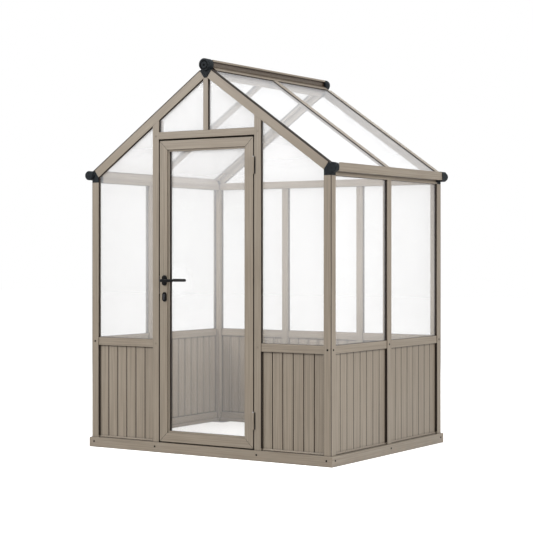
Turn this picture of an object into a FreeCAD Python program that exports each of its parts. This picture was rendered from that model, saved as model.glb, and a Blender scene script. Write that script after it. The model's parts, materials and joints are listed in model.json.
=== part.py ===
import FreeCAD
import Part
import math
import os

# Small aluminium greenhouse with a hinged, lockable door.
# Millimetres. +Z is up, the door wall faces -Y, the origin is the middle of the base on the ground.

# Overall frame
frame_width = 1750.0
frame_depth = 1380.0
post_size = 50.0
post_leg = 26.0
post_top = 1660.0
wall = 1.5
part_gap = 0.5

# Base rails
base_height = 60.0
base_proud = 12.0
base_width = 70.0
base_wall = 2.0

# Anchor brackets inside the base corners
bracket_leg = 90.0
bracket_plate = 4.0
bracket_rise = 40.0
anchor_inset = 55.0
anchor_hole = 11.0

# Corner groove of the corner posts
corner_groove = 3.0
corner_core = 8.0

# Roof
roof_pitch_deg = 35.2
rafter_depth = 52.0
middle_rafter_depth = 16.0
middle_rafter_width = 36.0
rafter_flange = 14.0
connector_rise = 33.4
ridge_toe = 10.0

# Doorway
opening_half = 350.0
door_post_face = 46.0
door_post_rebate = 16.0
door_head_height = 43.0
door_head_drop = 41.1
king_post_width = 34.0

# Dado rails and mullions
dado_middle = 664.5
dado_height = 48.0
dado_setback = 4.0
mullion_face = 50.0
mullion_depth = 32.0
left_mullion_y = -115.0
right_mullion_y = 0.0
back_mullion_x = 292.0
back_mullion_face = 42.0
back_mullion_depth = 36.0
tie_beam_lip = 12.6

# Panes and their seals
pane_thickness = 4.0
pane_setback = 16.0
pane_edge = 0.5
seal_lining = 1.0
seal_setback = 4.0
seal_lip = 1.0

# Skirt panels
plank_pitch = 74.0
plank_groove = 7.0
plank_groove_depth = 6.0
skirt_thickness = 2.0
skirt_setback = 15.0
skirt_lip_height = 14.0
skirt_lip_proud = 7.0
foot_rail_height = 44.0
foot_rail_thickness = 8.0

# Roof cover strips and the front roof seal
cover_width = 50.0
cover_thickness = 4.0
cover_web = 6.0
cover_gap = 0.5
front_seal_width = 30.0
front_seal_thickness = 5.0

# Ridge beam
ridge_slot_gap = 1.0
ridge_flange_lap = 12.0
ridge_flange_thickness = 5.0
ridge_web_half = 18.0
ridge_top_half = 30.0
ridge_top_thickness = 12.0
ridge_web_height = 26.0
ridge_wall = 2.5
ridge_setback = 35.0

# Ridge end caps
ridge_cap_radius = 36.0
ridge_cap_proud = 18.0
ridge_cap_drop = 30.0
ridge_cap_neck_deg = 45.0
ridge_hub_proud = 3.0
ridge_cap_hole = 6.0
ridge_cap_hole_depth = 5.0
ridge_cap_ring = 25.0
ridge_cap_ring_width = 2.0
ridge_cap_ring_depth = 1.5
ridge_plug_length = 30.0
ridge_plug_height = 22.0

# Gutters
gutter_width = 44.0
gutter_wall = 2.0
gutter_floor_rise = 23.0
gutter_height = 50.0
gutter_setback = 17.0
gutter_cap_radius = 29.0
gutter_cap_proud = 18.0
gutter_cap_offset = 15.0
gutter_cap_rise = 45.0

# Connector plugs in the posts and rafters
plug_length = 60.0

# Screws
screw_head = 9.0
screw_head_height = 2.2
screw_head_top = 6.0
screw_shank = 4.0
screw_length = 14.0
screw_fit = 0.3
base_screw_height = 35.0

# Door leaf
door_top_gap = 11.0
door_bottom_gap = 8.0
door_face = 55.0
bead_width = 11.0
bead_setback = 8.0
bead_thickness = 6.0
door_seal_width = 10.0
door_seal_recess = 2.0
door_pane_setback = 28.0
door_pane_edge = 2.0
cleat_arm = 90.0
cleat_gap = 0.3
stop_lap = 7.0
stop_gap = 0.5
stop_depth = 9.5

# Hinges
hinge_stand_off = 1.0
hinge_barrel = 12.0
hinge_length = 100.0
hinge_leaf = 3.0
hinge_leaf_gap = 2.0
hinge_leaf_depth = 30.0
hinge_pin = 6.0
hinge_pin_fit = 0.1
hinge_play = 0.4
hinge_head = 10.0
hinge_head_height = 3.0
hinge_from_bottom = 164.0
hinge_from_top = 168.0

# Lever handles
handle_height = 1050.0
handle_from_sight_edge = 18.0
rose_width = 34.0
rose_height = 62.0
rose_thickness = 8.0
neck_diameter = 16.0
neck_fit = 0.2
lever_reach = 45.0
lever_length = 108.0
lever_tail = 10.0
lever_height = 16.0
lever_thickness = 13.0
lever_round = 5.0
spindle_size = 8.0
spindle_fit = 0.2
spindle_clearance = 0.85
spindle_depth = 20.0

# Lock
cylinder_drop = 92.0
escutcheon_width = 31.0
escutcheon_height = 57.0
escutcheon_thickness = 6.0
cylinder_round = 17.0
cylinder_body_width = 10.0
cylinder_body_height = 33.0
cylinder_proud = 4.0
cylinder_fit = 0.6
plug_diameter = 10.0
plug_fit = 0.1
keyway_width = 2.0
keyway_height = 6.0
keyway_depth = 12.0
cam_reach = 14.0
cam_width = 9.0
cam_thickness = 9.0
cam_gap = 0.5
case_wall = 1.5
case_side_gap = 0.5
case_beyond_spindle = 10.5
case_above_spindle = 35.0
case_below_cylinder = 53.0
forend_width = 22.0
forend_margin = 10.0
forend_fit = 0.1
latch_height = 16.0
latch_width = 12.0
latch_reach = 4.5
latch_tail = 24.0
bolt_drop = 50.0
bolt_height = 24.0
bolt_tail_gap = 4.0
bolt_talon_gap = 1.3
bolt_talon_width = 10.0
bolt_fit = 0.6
strike_thickness = 1.5
strike_width = 32.0
strike_margin = 20.0
strike_slack = 1.5

# Sizes worked out from the ones above
half_width = frame_width / 2
half_depth = frame_depth / 2
post_inside = half_width - post_size
post_inside_y = half_depth - post_size
pitch = math.radians(roof_pitch_deg)
sin_pitch = math.sin(pitch)
cos_pitch = math.cos(pitch)
tan_pitch = math.tan(pitch)
ridge_line = post_top + connector_rise + tan_pitch * post_inside + rafter_depth / cos_pitch
rafter_start = (ridge_toe + rafter_depth * sin_pitch) / cos_pitch
rafter_end = (post_inside + rafter_depth * sin_pitch) / cos_pitch
cover_lift = pane_thickness + cover_gap
roof_edge = (half_width - part_gap - (cover_lift + cover_thickness) * sin_pitch) / cos_pitch
hub_foot = ridge_line - rafter_start * sin_pitch - rafter_depth * cos_pitch
ridge_pane_slot = pane_thickness + ridge_slot_gap
ridge_flange_rise = (ridge_pane_slot + ridge_flange_thickness) / cos_pitch
ridge_web_base = ridge_line + ridge_flange_rise - tan_pitch * ridge_web_half
ridge_top_under = ridge_web_base + ridge_web_height
ridge_top = ridge_top_under + ridge_top_thickness
ridge_cap_middle = ridge_top - ridge_cap_drop
dado_top = dado_middle + dado_height / 2
dado_bottom = dado_middle - dado_height / 2
door_post_outside = opening_half + door_post_face
door_head_top = post_top + connector_rise + tan_pitch * (post_inside - door_post_outside) - door_head_drop
door_opening_top = door_head_top - door_head_height
door_head_middle = door_opening_top + door_head_height / 2
tie_beam_top = post_top + connector_rise + tie_beam_lip
seal_back = pane_setback + pane_thickness + seal_lip
door_side_gap = 2 * hinge_leaf + hinge_leaf_gap
door_half = opening_half - door_side_gap
door_top = door_opening_top - door_top_gap
door_bottom = base_height + door_bottom_gap
hinge_x = opening_half - door_side_gap / 2
hinge_y = -half_depth - hinge_barrel / 2 - hinge_stand_off
hinge_heights = (door_bottom + hinge_from_bottom, door_top - hinge_from_top)
door_thickness = post_size - stop_depth - stop_gap
door_back = -half_depth + door_thickness
door_middle_y = -half_depth + door_thickness / 2
lever_x = -door_half + door_face - handle_from_sight_edge
spindle_hole = spindle_size * math.sqrt(2) + 2 * spindle_clearance
cylinder_height = handle_height - cylinder_drop
cylinder_front = -half_depth - escutcheon_thickness - cylinder_proud
cylinder_back = door_back + escutcheon_thickness + cylinder_proud
case_front = -door_half + wall
case_back = lever_x + case_beyond_spindle
case_top = handle_height + case_above_spindle
case_bottom = cylinder_height - case_below_cylinder
case_half_width = latch_width / 2 + case_side_gap + case_wall
bolt_middle = handle_height - bolt_drop
bolt_end = case_back - case_wall - bolt_tail_gap
bolt_talon_low = cylinder_height + math.hypot(cam_reach, cam_width / 2) + bolt_talon_gap
gutter_floor = post_top + gutter_floor_rise
gutter_end = half_depth - gutter_setback


def vec(x, y, z):
    return FreeCAD.Vector(x, y, z)


def box(x0, x1, y0, y1, z0, z1):
    return Part.makeBox(x1 - x0, y1 - y0, z1 - z0, vec(x0, y0, z0))


def solid_from(points, sweep):
    """Extrude the flat polygon through the given points along a vector."""
    ring = [vec(*point) for point in points]
    ring.append(ring[0])
    return Part.Face(Part.makePolygon(ring)).extrude(vec(*sweep))


def cylinder_y(radius, x, z, y0, y1):
    return Part.makeCylinder(radius, y1 - y0, vec(x, y0, z), vec(0, 1, 0))


def mirror_x(shape):
    return shape.mirror(vec(0, 0, 0), vec(1, 0, 0))


def mirror_y(shape):
    return shape.mirror(vec(0, 0, 0), vec(0, 1, 0))


def all_corners(shape):
    """A piece at one corner of the house and its mirrored copies at the others."""
    return shape, mirror_x(shape), mirror_y(shape), mirror_x(mirror_y(shape))


def save(name, *shapes):
    """Write one sub-part, a single solid or a group of like solids."""
    part = shapes[0] if len(shapes) == 1 else Part.makeCompound(list(shapes))
    part.exportStep("parts/" + name + ".step")


def place(side, along, depth):
    """Turn a position along a wall and a depth behind its post faces into X and Y."""
    if side == "front":
        return along, -half_depth + depth
    if side == "back":
        return along, half_depth - depth
    if side == "right":
        return half_width - depth, along
    return -half_width + depth, along


def inward(side):
    """Unit vector that points from a wall into the house."""
    near = place(side, 0, 0)
    deep = place(side, 0, 1)
    return vec(deep[0] - near[0], deep[1] - near[1], 0)


def plan_prism(side, outline, low, high):
    """Extrude upwards an outline of (along, depth) pairs that lies in plan."""
    points = [place(side, along, depth) + (low,) for along, depth in outline]
    return solid_from(points, (0, 0, high - low))


def face_prism(side, outline, near, far):
    """Extrude an outline of (along, height) pairs through the wall, between two depths."""
    points = [place(side, along, near) + (height,) for along, height in outline]
    return solid_from(points, inward(side) * (far - near))


def rectangle(a0, a1, b0, b1):
    return [(a0, b0), (a1, b0), (a1, b1), (a0, b1)]


def inset(outline, distance):
    """Move every side of a convex outline inwards by a distance."""
    count = len(outline)
    area = sum(outline[i - 1][0] * outline[i][1] - outline[i][0] * outline[i - 1][1] for i in range(count))
    turn = 1 if area > 0 else -1
    lines = []
    for i in range(count):
        (x0, y0), (x1, y1) = outline[i], outline[(i + 1) % count]
        length = math.hypot(x1 - x0, y1 - y0)
        normal = (-(y1 - y0) / length * turn, (x1 - x0) / length * turn)
        lines.append((normal[0], normal[1], normal[0] * x0 + normal[1] * y0 + distance))
    corners = []
    for i in range(count):
        a0, b0, c0 = lines[i - 1]
        a1, b1, c1 = lines[i]
        det = a0 * b1 - a1 * b0
        corners.append(((c0 * b1 - c1 * b0) / det, (a0 * c1 - a1 * c0) / det))
    return corners


def roof_under(x):
    """Height of the rafters' lower face."""
    return post_top + connector_rise + tan_pitch * (post_inside - abs(x))


def slope(along, lift):
    """X and Z of a point on the right roof slope: distance down from the apex, height above the rafters."""
    return along * cos_pitch + lift * sin_pitch, ridge_line - along * sin_pitch + lift * cos_pitch


def slope_bar(start, end, low, high, y0, y1):
    """Bar along the right roof slope."""
    corners = [slope(start, low), slope(end, low), slope(end, high), slope(start, high)]
    return solid_from([(x, y0, z) for x, z in corners], (0, y1 - y0, 0))


def screw(side, along, height, face_depth):
    """Pan-head screw driven square into a wall face."""
    x, y = place(side, along, face_depth)
    seat = vec(x, y, height)
    head = Part.makeCone(screw_head / 2, screw_head_top / 2, screw_head_height, seat, inward(side) * -1)
    shank = Part.makeCylinder(screw_shank / 2, screw_length, seat, inward(side))
    return head.fuse(shank)


def screw_cut(side, along, height, face_depth):
    """Clearance hole for a screw through the near wall of a hollow bar."""
    x, y = place(side, along, face_depth)
    return Part.makeCylinder((screw_shank + screw_fit) / 2, screw_length, vec(x, y, height), inward(side))


def drilled(bar, side, spots):
    """Drill a bar for the screws at the given (along, height, face depth) spots."""
    for along, height, face_depth in spots:
        bar = bar.cut(screw_cut(side, along, height, face_depth))
    return bar


# Positions of the uprights along each wall
corner_along_front = half_width - post_size / 2
corner_along_side = half_depth - post_size / 2
door_post_along = opening_half + door_post_face / 2
front_uprights = (-corner_along_front, -door_post_along, door_post_along, corner_along_front)
left_uprights = (-corner_along_side, left_mullion_y, corner_along_side)
right_uprights = (-corner_along_side, right_mullion_y, corner_along_side)
back_uprights = (-corner_along_front, -back_mullion_x, back_mullion_x, corner_along_front)
uprights = {"front": front_uprights, "back": back_uprights, "left": left_uprights, "right": right_uprights}


def base_rail(side):
    """Hollow plinth rail with mitred ends."""
    reach = half_width if side in ("front", "back") else half_depth

    def trapezoid(near, far):
        return [(-reach + near, near), (reach - near, near), (reach - far, far), (-reach + far, far)]

    near, far = -base_proud, base_width - base_proud
    rail = plan_prism(side, trapezoid(near, far), 0, base_height)
    hollow_outline = trapezoid(near + base_wall, far - base_wall)
    rail = rail.cut(plan_prism(side, hollow_outline, base_wall, base_height - base_wall))
    return drilled(rail, side, [(along, base_screw_height, near) for along in uprights[side]])


def base_bracket():
    """Floor bracket in the front left base corner, with its anchor hole."""
    x0 = -half_width - base_proud + base_width
    y0 = -half_depth - base_proud + base_width
    floor = box(x0, x0 + bracket_leg, y0, y0 + bracket_leg, 0, bracket_plate)
    flange_x = box(x0, x0 + bracket_plate, y0, y0 + bracket_leg, 0, bracket_rise)
    flange_y = box(x0, x0 + bracket_leg, y0, y0 + bracket_plate, 0, bracket_rise)
    hole = Part.makeCylinder(anchor_hole / 2, bracket_plate, vec(x0 + anchor_inset, y0 + anchor_inset, 0))
    return floor.fuse([flange_x, flange_y]).cut(hole).removeSplitter()


def angle_bar(x0, y0, trim, low, high):
    """Upright of L section, with its outer corner at the given place and every face trimmed back."""
    near, far, leg = trim, post_size - trim, post_leg - trim
    bar = box(x0 + near, x0 + far, y0 + near, y0 + far, low, high)
    return bar.cut(box(x0 + leg, x0 + post_size, y0 + leg, y0 + post_size, low, high))


def front_post():
    """Outside and bore of the front left corner post, a hollow angle."""
    x0, y0 = -half_width, -half_depth
    return [angle_bar(x0, y0, trim, base_height, post_top) for trim in (0, wall)]


def back_post():
    """Outside and bore of a back corner post, a square tube, laid out at the front left corner."""
    x0, y0 = -half_width, -half_depth
    x1, y1 = x0 + post_size, y0 + post_size
    return [box(x0 + trim, x1 - trim, y0 + trim, y1 - trim, base_height, post_top) for trim in (0, wall)]


def corner_post(post, bore):
    """Corner post at the front left, with a groove down its outer corner."""
    x0, y0 = -half_width, -half_depth
    core = box(x0, x0 + corner_core, y0, y0 + corner_core, base_height, post_top)
    groove = box(x0, x0 + corner_groove, y0, y0 + corner_groove, base_height, post_top)
    post = post.cut(bore.cut(core)).cut(groove)
    post = drilled(post, "front", [(-corner_along_front, dado_middle, 0)])
    return drilled(post, "left", [(-corner_along_side, dado_middle, 0)])


def upright(side, middle, face, depth, outline, holes):
    """Hollow post of the given depth whose face has the given outline."""
    top = max(height for _, height in outline)
    low = min(height for _, height in outline)
    edge = face / 2 - wall
    bore = plan_prism(side, rectangle(middle - edge, middle + edge, wall, depth - wall), low, top)
    post = face_prism(side, outline, 0, depth).cut(bore)
    return drilled(post, side, [(middle, height, 0) for height in holes])


def door_post():
    """Hollow hinge post, with a rebate down the inner edge that faces its bay."""
    top = roof_under(opening_half)
    outline = [
        (opening_half, base_height),
        (door_post_outside, base_height),
        (door_post_outside, roof_under(door_post_outside)),
        (opening_half, top),
    ]

    def section(trim):
        front, back, leg = trim, post_size - trim, post_leg - trim
        near, far = opening_half + trim, door_post_outside - trim
        step = far - door_post_rebate
        return [(near, front), (far, front), (far, leg), (step, leg), (step, back), (near, back)]

    post = face_prism("front", outline, 0, post_size)
    post = post.common(plan_prism("front", section(0), base_height, top))
    post = post.cut(plan_prism("front", section(wall), base_height, top))
    screws = (dado_middle, door_head_middle)
    return drilled(post, "front", [(door_post_along, height, 0) for height in screws])


def rail(side, start, end, low, high, near, far):
    """Hollow horizontal bar between two uprights, given the depths of its two faces."""
    bar = face_prism(side, rectangle(start, end, low, high), near, far)
    bore = face_prism(side, rectangle(start, end, low + wall, high - wall), near + wall, far - wall)
    return bar.cut(bore)


def glazing(side, outline):
    """Pane in one bay and the black seal that lines the bay around it."""
    pane = face_prism(side, inset(outline, pane_edge), pane_setback, pane_setback + pane_thickness)
    lining = face_prism(side, outline, seal_setback, seal_back)
    clear = face_prism(side, inset(outline, seal_lining), seal_setback, seal_back)
    return pane, lining.cut(clear).cut(pane)


def skirt(side, start, end):
    """Folded sheet of vertical planks, with a V fold between neighbours and a lip along its foot."""
    count = max(1, round((end - start) / plank_pitch))
    step = (end - start) / count
    near, far = skirt_setback, skirt_setback + skirt_thickness
    outer_edge, inner_edge = [(start, near)], [(end, far)]
    for number in range(1, count):
        joint = start + number * step
        outer_edge.append((joint - plank_groove / 2, near))
        outer_edge.append((joint, near + plank_groove_depth))
        outer_edge.append((joint + plank_groove / 2, near))
        joint = end - number * step
        inner_edge.append((joint + plank_groove / 2, far))
        inner_edge.append((joint, far + plank_groove_depth))
        inner_edge.append((joint - plank_groove / 2, far))
    outline = outer_edge + [(end, near)] + inner_edge + [(start, far)]
    planks = plan_prism(side, outline, base_height, dado_bottom)
    lip_top = base_height + skirt_lip_height
    lip_near = near - skirt_lip_proud
    lip_section = [(lip_near, base_height), (far, base_height), (far, lip_top), (near, lip_top)]
    lip_section.append((lip_near, lip_top - skirt_lip_proud))
    from_x, from_y = place(side, start, 0)
    to_x, to_y = place(side, end, 0)
    lip_points = [place(side, start, depth) + (height,) for depth, height in lip_section]
    lip = solid_from(lip_points, (to_x - from_x, to_y - from_y, 0))
    return planks.fuse(lip).removeSplitter()


def foot_rail(side, start, end):
    """Flat bar that stands on the base rail behind a skirt panel."""
    near = skirt_setback + skirt_thickness + plank_groove_depth + part_gap
    outline = rectangle(start + part_gap, end - part_gap, near, near + foot_rail_thickness)
    return plan_prism(side, outline, base_height, base_height + foot_rail_height)


def rafter(depth, y0, y1):
    """Hollow rafter on the right slope, cut square at both ends."""
    bar = slope_bar(rafter_start, rafter_end, -depth, 0, y0, y1)
    bore = slope_bar(rafter_start, rafter_end, -depth + wall, -wall, y0 + wall, y1 - wall)
    return bar.cut(bore)


def gable_bar(start, trim):
    """Bar of L section along the right slope, over the front wall, with every long face trimmed back."""
    y0, y1 = -half_depth + trim, -half_depth + post_size - trim
    leg = -half_depth + post_leg - trim
    bar = slope_bar(start, rafter_end, -rafter_depth + trim, -trim, y0, y1)
    return bar.cut(slope_bar(start, rafter_end, -rafter_depth, -rafter_flange + trim, leg, y1))


def eave_outline(clearance):
    """Section of the eave: seat for the rafter ends, sloped top under the roof pane."""
    seat_low = slope(rafter_end, -rafter_depth)
    seat_high = slope(rafter_end, 0)
    outer_top = seat_high[1] - tan_pitch * (half_width - seat_high[0])
    foot = [(post_inside, post_top), (half_width, post_top)]
    outline = foot + [(half_width, outer_top), seat_high, seat_low]
    return inset(outline, clearance) if clearance else outline


def eave_gutter():
    """Right eave beam with the gutter trough along its outer face."""
    y0 = -half_depth + post_size
    length = frame_depth - 2 * post_size
    beam = solid_from([(x, y0, z) for x, z in eave_outline(0)], (0, length, 0))
    bore = solid_from([(x, y0, z) for x, z in eave_outline(wall)], (0, length, 0))
    x0, x1 = half_width, half_width + gutter_width
    z0, z1 = gutter_floor, gutter_floor + gutter_height
    trough = box(x0, x1, -gutter_end, gutter_end, z0, z1)
    hollow = box(x0, x1 - gutter_wall, -gutter_end, gutter_end, z0 + gutter_wall, z1)
    return beam.cut(bore).fuse(trough.cut(hollow)).removeSplitter()


def eave_connector():
    """Front right corner block with plugs that enter the post and the rafter."""
    y0 = -half_depth
    block = solid_from([(x, y0, z) for x, z in eave_outline(0)], (0, post_size, 0))
    side_gap = wall + part_gap
    core = corner_core + part_gap
    plug_low = post_top - plug_length
    plug = mirror_x(angle_bar(-half_width, y0, side_gap, plug_low, post_top))
    plug = plug.cut(box(half_width - core, half_width, y0, y0 + core, plug_low, post_top))
    tongue = gable_bar(rafter_end - plug_length, side_gap)
    return block.fuse([plug, tongue]).removeSplitter()


def gutter_cap():
    """Round cap on the front end of the right gutter."""
    middle_x = half_width + gutter_cap_offset
    middle_z = post_top + gutter_cap_rise
    cap = cylinder_y(gutter_cap_radius, middle_x, middle_z, -half_depth - gutter_cap_proud, -gutter_end)
    low, high = middle_z - gutter_cap_radius, middle_z + gutter_cap_radius
    inner = middle_x - gutter_cap_radius
    return cap.cut(box(inner, half_width, -half_depth, -gutter_end, low, high))


def ridge_half_outline():
    """Right half of the ridge section, from its foot to the middle of its top."""
    lap_end = rafter_start + ridge_flange_lap
    flange_top = ridge_pane_slot + ridge_flange_thickness
    return [
        (ridge_toe, hub_foot),
        slope(rafter_start, ridge_pane_slot),
        slope(lap_end, ridge_pane_slot),
        slope(lap_end, flange_top),
        (ridge_web_half, ridge_web_base),
        (ridge_web_half, ridge_top_under),
        (ridge_top_half, ridge_top_under),
        (ridge_top_half, ridge_top),
    ]


def ridge_beam():
    """Ridge extrusion: top flange, recessed web, sloped flanges over the panes, wedge under them."""
    half = ridge_half_outline()
    outline = half + [(-x, z) for x, z in reversed(half)]
    y0 = -half_depth + ridge_setback
    length = frame_depth - 2 * ridge_setback
    beam = solid_from([(x, y0, z) for x, z in outline], (0, length, 0))
    inner = ridge_web_half - ridge_wall
    knee = slope(rafter_start - ridge_wall, 0)
    bore_half = [
        (ridge_toe - ridge_wall, hub_foot + ridge_wall),
        knee,
        (inner, ridge_web_base),
        (inner, ridge_top - ridge_wall),
    ]
    bore = bore_half + [(-x, z) for x, z in reversed(bore_half)]
    return beam.cut(solid_from([(x, y0, z) for x, z in bore], (0, length, 0)))


def ridge_cap():
    """Round front cap of the ridge with the wedge that joins the rafters and the king post."""
    front, back = -half_depth - ridge_cap_proud, -half_depth + ridge_setback
    barrel = cylinder_y(ridge_cap_radius, 0, ridge_cap_middle, front, back)
    shoulder = slope(rafter_start, 0)
    neck = math.radians(ridge_cap_neck_deg)
    neck_x = ridge_cap_radius * math.cos(neck)
    neck_z = ridge_cap_middle - ridge_cap_radius * math.sin(neck)
    half = [(ridge_toe, hub_foot), shoulder, (neck_x, neck_z)]
    outline = half + [(-x, z) for x, z in reversed(half)]
    hub_front = -half_depth - ridge_hub_proud
    hub = solid_from([(x, hub_front, z) for x, z in outline], (0, back - hub_front, 0))
    inner = ridge_web_half - ridge_wall - part_gap
    plug_top = ridge_web_base + ridge_plug_height
    plug = box(-inner, inner, back, back + ridge_plug_length, ridge_web_base, plug_top)
    hole = cylinder_y(ridge_cap_hole / 2, 0, ridge_cap_middle, front, front + ridge_cap_hole_depth)
    ring_end = front + ridge_cap_ring_depth
    ring = cylinder_y(ridge_cap_ring, 0, ridge_cap_middle, front, ring_end)
    ring = ring.cut(cylinder_y(ridge_cap_ring - ridge_cap_ring_width, 0, ridge_cap_middle, front, ring_end))
    return barrel.fuse([hub, plug]).cut(hole).cut(ring)


def roof_cover(web_y0, web_y1, flange_y0, flange_y1):
    """Cover strip over a rafter of the right slope: web between the panes, flange over their edges."""
    start = rafter_start + ridge_flange_lap + part_gap
    web = slope_bar(start, roof_edge, 0, cover_lift, web_y0, web_y1)
    flange = slope_bar(start, roof_edge, cover_lift, cover_lift + cover_thickness, flange_y0, flange_y1)
    return web.fuse(flange).removeSplitter()


def door_member(edge, corners_outer, corners_inner, y0, y1):
    """Mitred prism along one edge of the door frame, between two nested rectangles of corners."""
    first, second = edge, (edge + 1) % 4
    ring = [corners_outer[first], corners_outer[second], corners_inner[second], corners_inner[first]]
    return solid_from([(x, y0, z) for x, z in ring], (0, y1 - y0, 0))


door_outline = rectangle(-door_half, door_half, door_bottom, door_top)
door_members = ("door_rail_bottom", "door_stile_hinge", "door_rail_top", "door_stile_latch")


def door_bar(edge):
    """Hollow door frame member with its glazing bead."""
    y0 = -half_depth
    bar = door_member(edge, door_outline, inset(door_outline, door_face), y0, door_back)
    bore_outer, bore_inner = inset(door_outline, wall), inset(door_outline, door_face - wall)
    bore = door_member(edge, bore_outer, bore_inner, y0 + wall, door_back - wall)
    bead_outer, bead_inner = inset(door_outline, door_face), inset(door_outline, door_face + bead_width)
    bead_front = y0 + bead_setback
    bead = door_member(edge, bead_outer, bead_inner, bead_front, bead_front + bead_thickness)
    return bar.cut(bore).fuse(bead).removeSplitter()


def door_cleat(turn_x, turn_z):
    """Corner angle inside two mitred door members, given the signs of its corner."""
    gap = wall + cleat_gap
    x0, x1 = -door_half + gap, -door_half + door_face - gap
    z0, z1 = door_bottom + gap, door_bottom + door_face - gap
    y0, y1 = -half_depth + gap, door_back - gap
    arm_up = box(x0, x1, y0, y1, z0, z0 + cleat_arm)
    arm_along = box(x0, x0 + cleat_arm, y0, y1, z0, z1)
    cleat = arm_up.fuse(arm_along).removeSplitter()
    if turn_x > 0:
        cleat = mirror_x(cleat)
    if turn_z > 0:
        cleat = cleat.mirror(vec(0, 0, (door_bottom + door_top) / 2), vec(0, 0, 1))
    return cleat


def door_glazing():
    """Door pane and the seal that holds it behind the bead."""
    y0 = -half_depth
    pane_front = y0 + door_pane_setback
    pane_outline = inset(door_outline, door_face + door_pane_edge)
    pane = solid_from([(x, pane_front, z) for x, z in pane_outline], (0, pane_thickness, 0))
    outer = inset(door_outline, door_face)
    inner = inset(door_outline, door_face + door_seal_width)
    seal_front = y0 + bead_setback + bead_thickness
    depth = door_back - door_seal_recess - seal_front
    seal = solid_from([(x, seal_front, z) for x, z in outer], (0, depth, 0))
    clear = solid_from([(x, seal_front, z) for x, z in inner], (0, depth, 0))
    return pane, seal.cut(clear).cut(pane)


def door_stops():
    """Black stop strips on the posts, the head and the base, just behind the closed door."""
    y0 = door_back + stop_gap
    y1 = y0 + stop_depth
    inner = door_half - stop_lap
    left = box(-opening_half, -inner, y0, y1, base_height, door_opening_top)
    right = mirror_x(left)
    top = box(-inner, inner, y0, y1, door_top - stop_lap, door_opening_top)
    bottom = box(-inner, inner, y0, y1, base_height, door_bottom + stop_lap)
    return left, right, top, bottom


def hinge_parts(middle):
    """Post leaf, door leaf and pin of one hinge, given the height of its middle."""
    low, high = middle - hinge_length / 2, middle + hinge_length / 2
    third = hinge_length / 3
    face = -half_depth
    back = face + hinge_leaf_depth
    bore = Part.makeCylinder((hinge_pin + hinge_pin_fit) / 2, hinge_length, vec(hinge_x, hinge_y, low))

    def knuckle(bottom, top, x0, x1):
        barrel = Part.makeCylinder(hinge_barrel / 2, top - bottom, vec(hinge_x, hinge_y, bottom))
        return barrel.fuse(box(x0, x1, hinge_y, face, bottom, top))

    post_x0, post_x1 = opening_half - hinge_leaf, opening_half
    post_leaf = box(post_x0, post_x1, face, back, low, high)
    post_leaf = post_leaf.fuse(knuckle(low, low + third, post_x0, post_x1))
    post_leaf = post_leaf.fuse(knuckle(high - third, high, post_x0, post_x1)).cut(bore).removeSplitter()
    door_x0, door_x1 = door_half, door_half + hinge_leaf
    door_leaf = box(door_x0, door_x1, face, back, low, high)
    middle_knuckle = knuckle(low + third + hinge_play, high - third - hinge_play, door_x0, door_x1)
    door_leaf = door_leaf.fuse(middle_knuckle).cut(bore).removeSplitter()
    pin = Part.makeCylinder(hinge_pin / 2, hinge_length, vec(hinge_x, hinge_y, low))
    head = Part.makeCylinder(hinge_head / 2, hinge_head_height, vec(hinge_x, hinge_y, high))
    return post_leaf, door_leaf, pin.fuse(head)


def oval_plate(width, height, thickness, middle_x, middle_z, y0):
    """Plate with round ends, standing square to the door."""
    radius = width / 2
    reach = height / 2 - radius
    y1 = y0 + thickness
    plate = box(middle_x - radius, middle_x + radius, y0, y1, middle_z - reach, middle_z + reach)
    upper = cylinder_y(radius, middle_x, middle_z + reach, y0, y1)
    lower = cylinder_y(radius, middle_x, middle_z - reach, y0, y1)
    return plate.fuse([upper, lower]).removeSplitter()


def profile_cylinder(grow, y0, y1):
    """Body of the lock cylinder: round part with a narrow part below it."""
    radius = cylinder_round / 2 + grow
    bottom = cylinder_height + cylinder_round / 2 - cylinder_body_height - grow
    half = cylinder_body_width / 2 + grow
    stem = box(lever_x - half, lever_x + half, y0, y1, bottom, cylinder_height)
    return cylinder_y(radius, lever_x, cylinder_height, y0, y1).fuse(stem).removeSplitter()


def across_door(shape):
    """Copy of a piece on the inner face of the door."""
    return shape.mirror(vec(0, door_middle_y, 0), vec(0, 1, 0))


def square_bar(size, y0, y1):
    """Square bar on the axis of the levers."""
    half = size / 2
    return box(lever_x - half, lever_x + half, y0, y1, handle_height - half, handle_height + half)


def lever():
    """Outside lever with its neck through the rose."""
    face = -half_depth
    grip_middle = face - lever_reach
    y0, y1 = grip_middle - lever_thickness / 2, grip_middle + lever_thickness / 2
    z0, z1 = handle_height - lever_height / 2, handle_height + lever_height / 2
    grip = box(lever_x - lever_tail, lever_x + lever_length, y0, y1, z0, z1)
    grip = grip.makeFillet(lever_round, grip.Edges)
    neck = cylinder_y(neck_diameter / 2, lever_x, handle_height, grip_middle, face)
    socket = square_bar(spindle_size + spindle_fit, face - spindle_depth, face)
    return grip.fuse(neck).removeSplitter().cut(socket)


def lock_case():
    """Mortice lock case with its forend plate in the edge of the latch stile."""
    y0, y1 = door_middle_y - case_half_width, door_middle_y + case_half_width
    case = box(case_front, case_back, y0, y1, case_bottom, case_top)
    hollow_low, hollow_high = case_bottom + case_wall, case_top - case_wall
    hollow = box(case_front, case_back - case_wall, y0 + case_wall, y1 - case_wall, hollow_low, hollow_high)
    forend = forend_box(0)
    case = case.cut(hollow).fuse(forend).removeSplitter()
    case = case.cut(bolt_cut(handle_height, latch_height, latch_width, -door_half, case_front))
    case = case.cut(bolt_cut(bolt_middle, bolt_height, latch_width, -door_half, case_front))
    case = case.cut(cylinder_y(spindle_hole / 2, lever_x, handle_height, y0, y1))
    return case.cut(profile_cylinder(cylinder_fit / 2, y0, y1))


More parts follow.
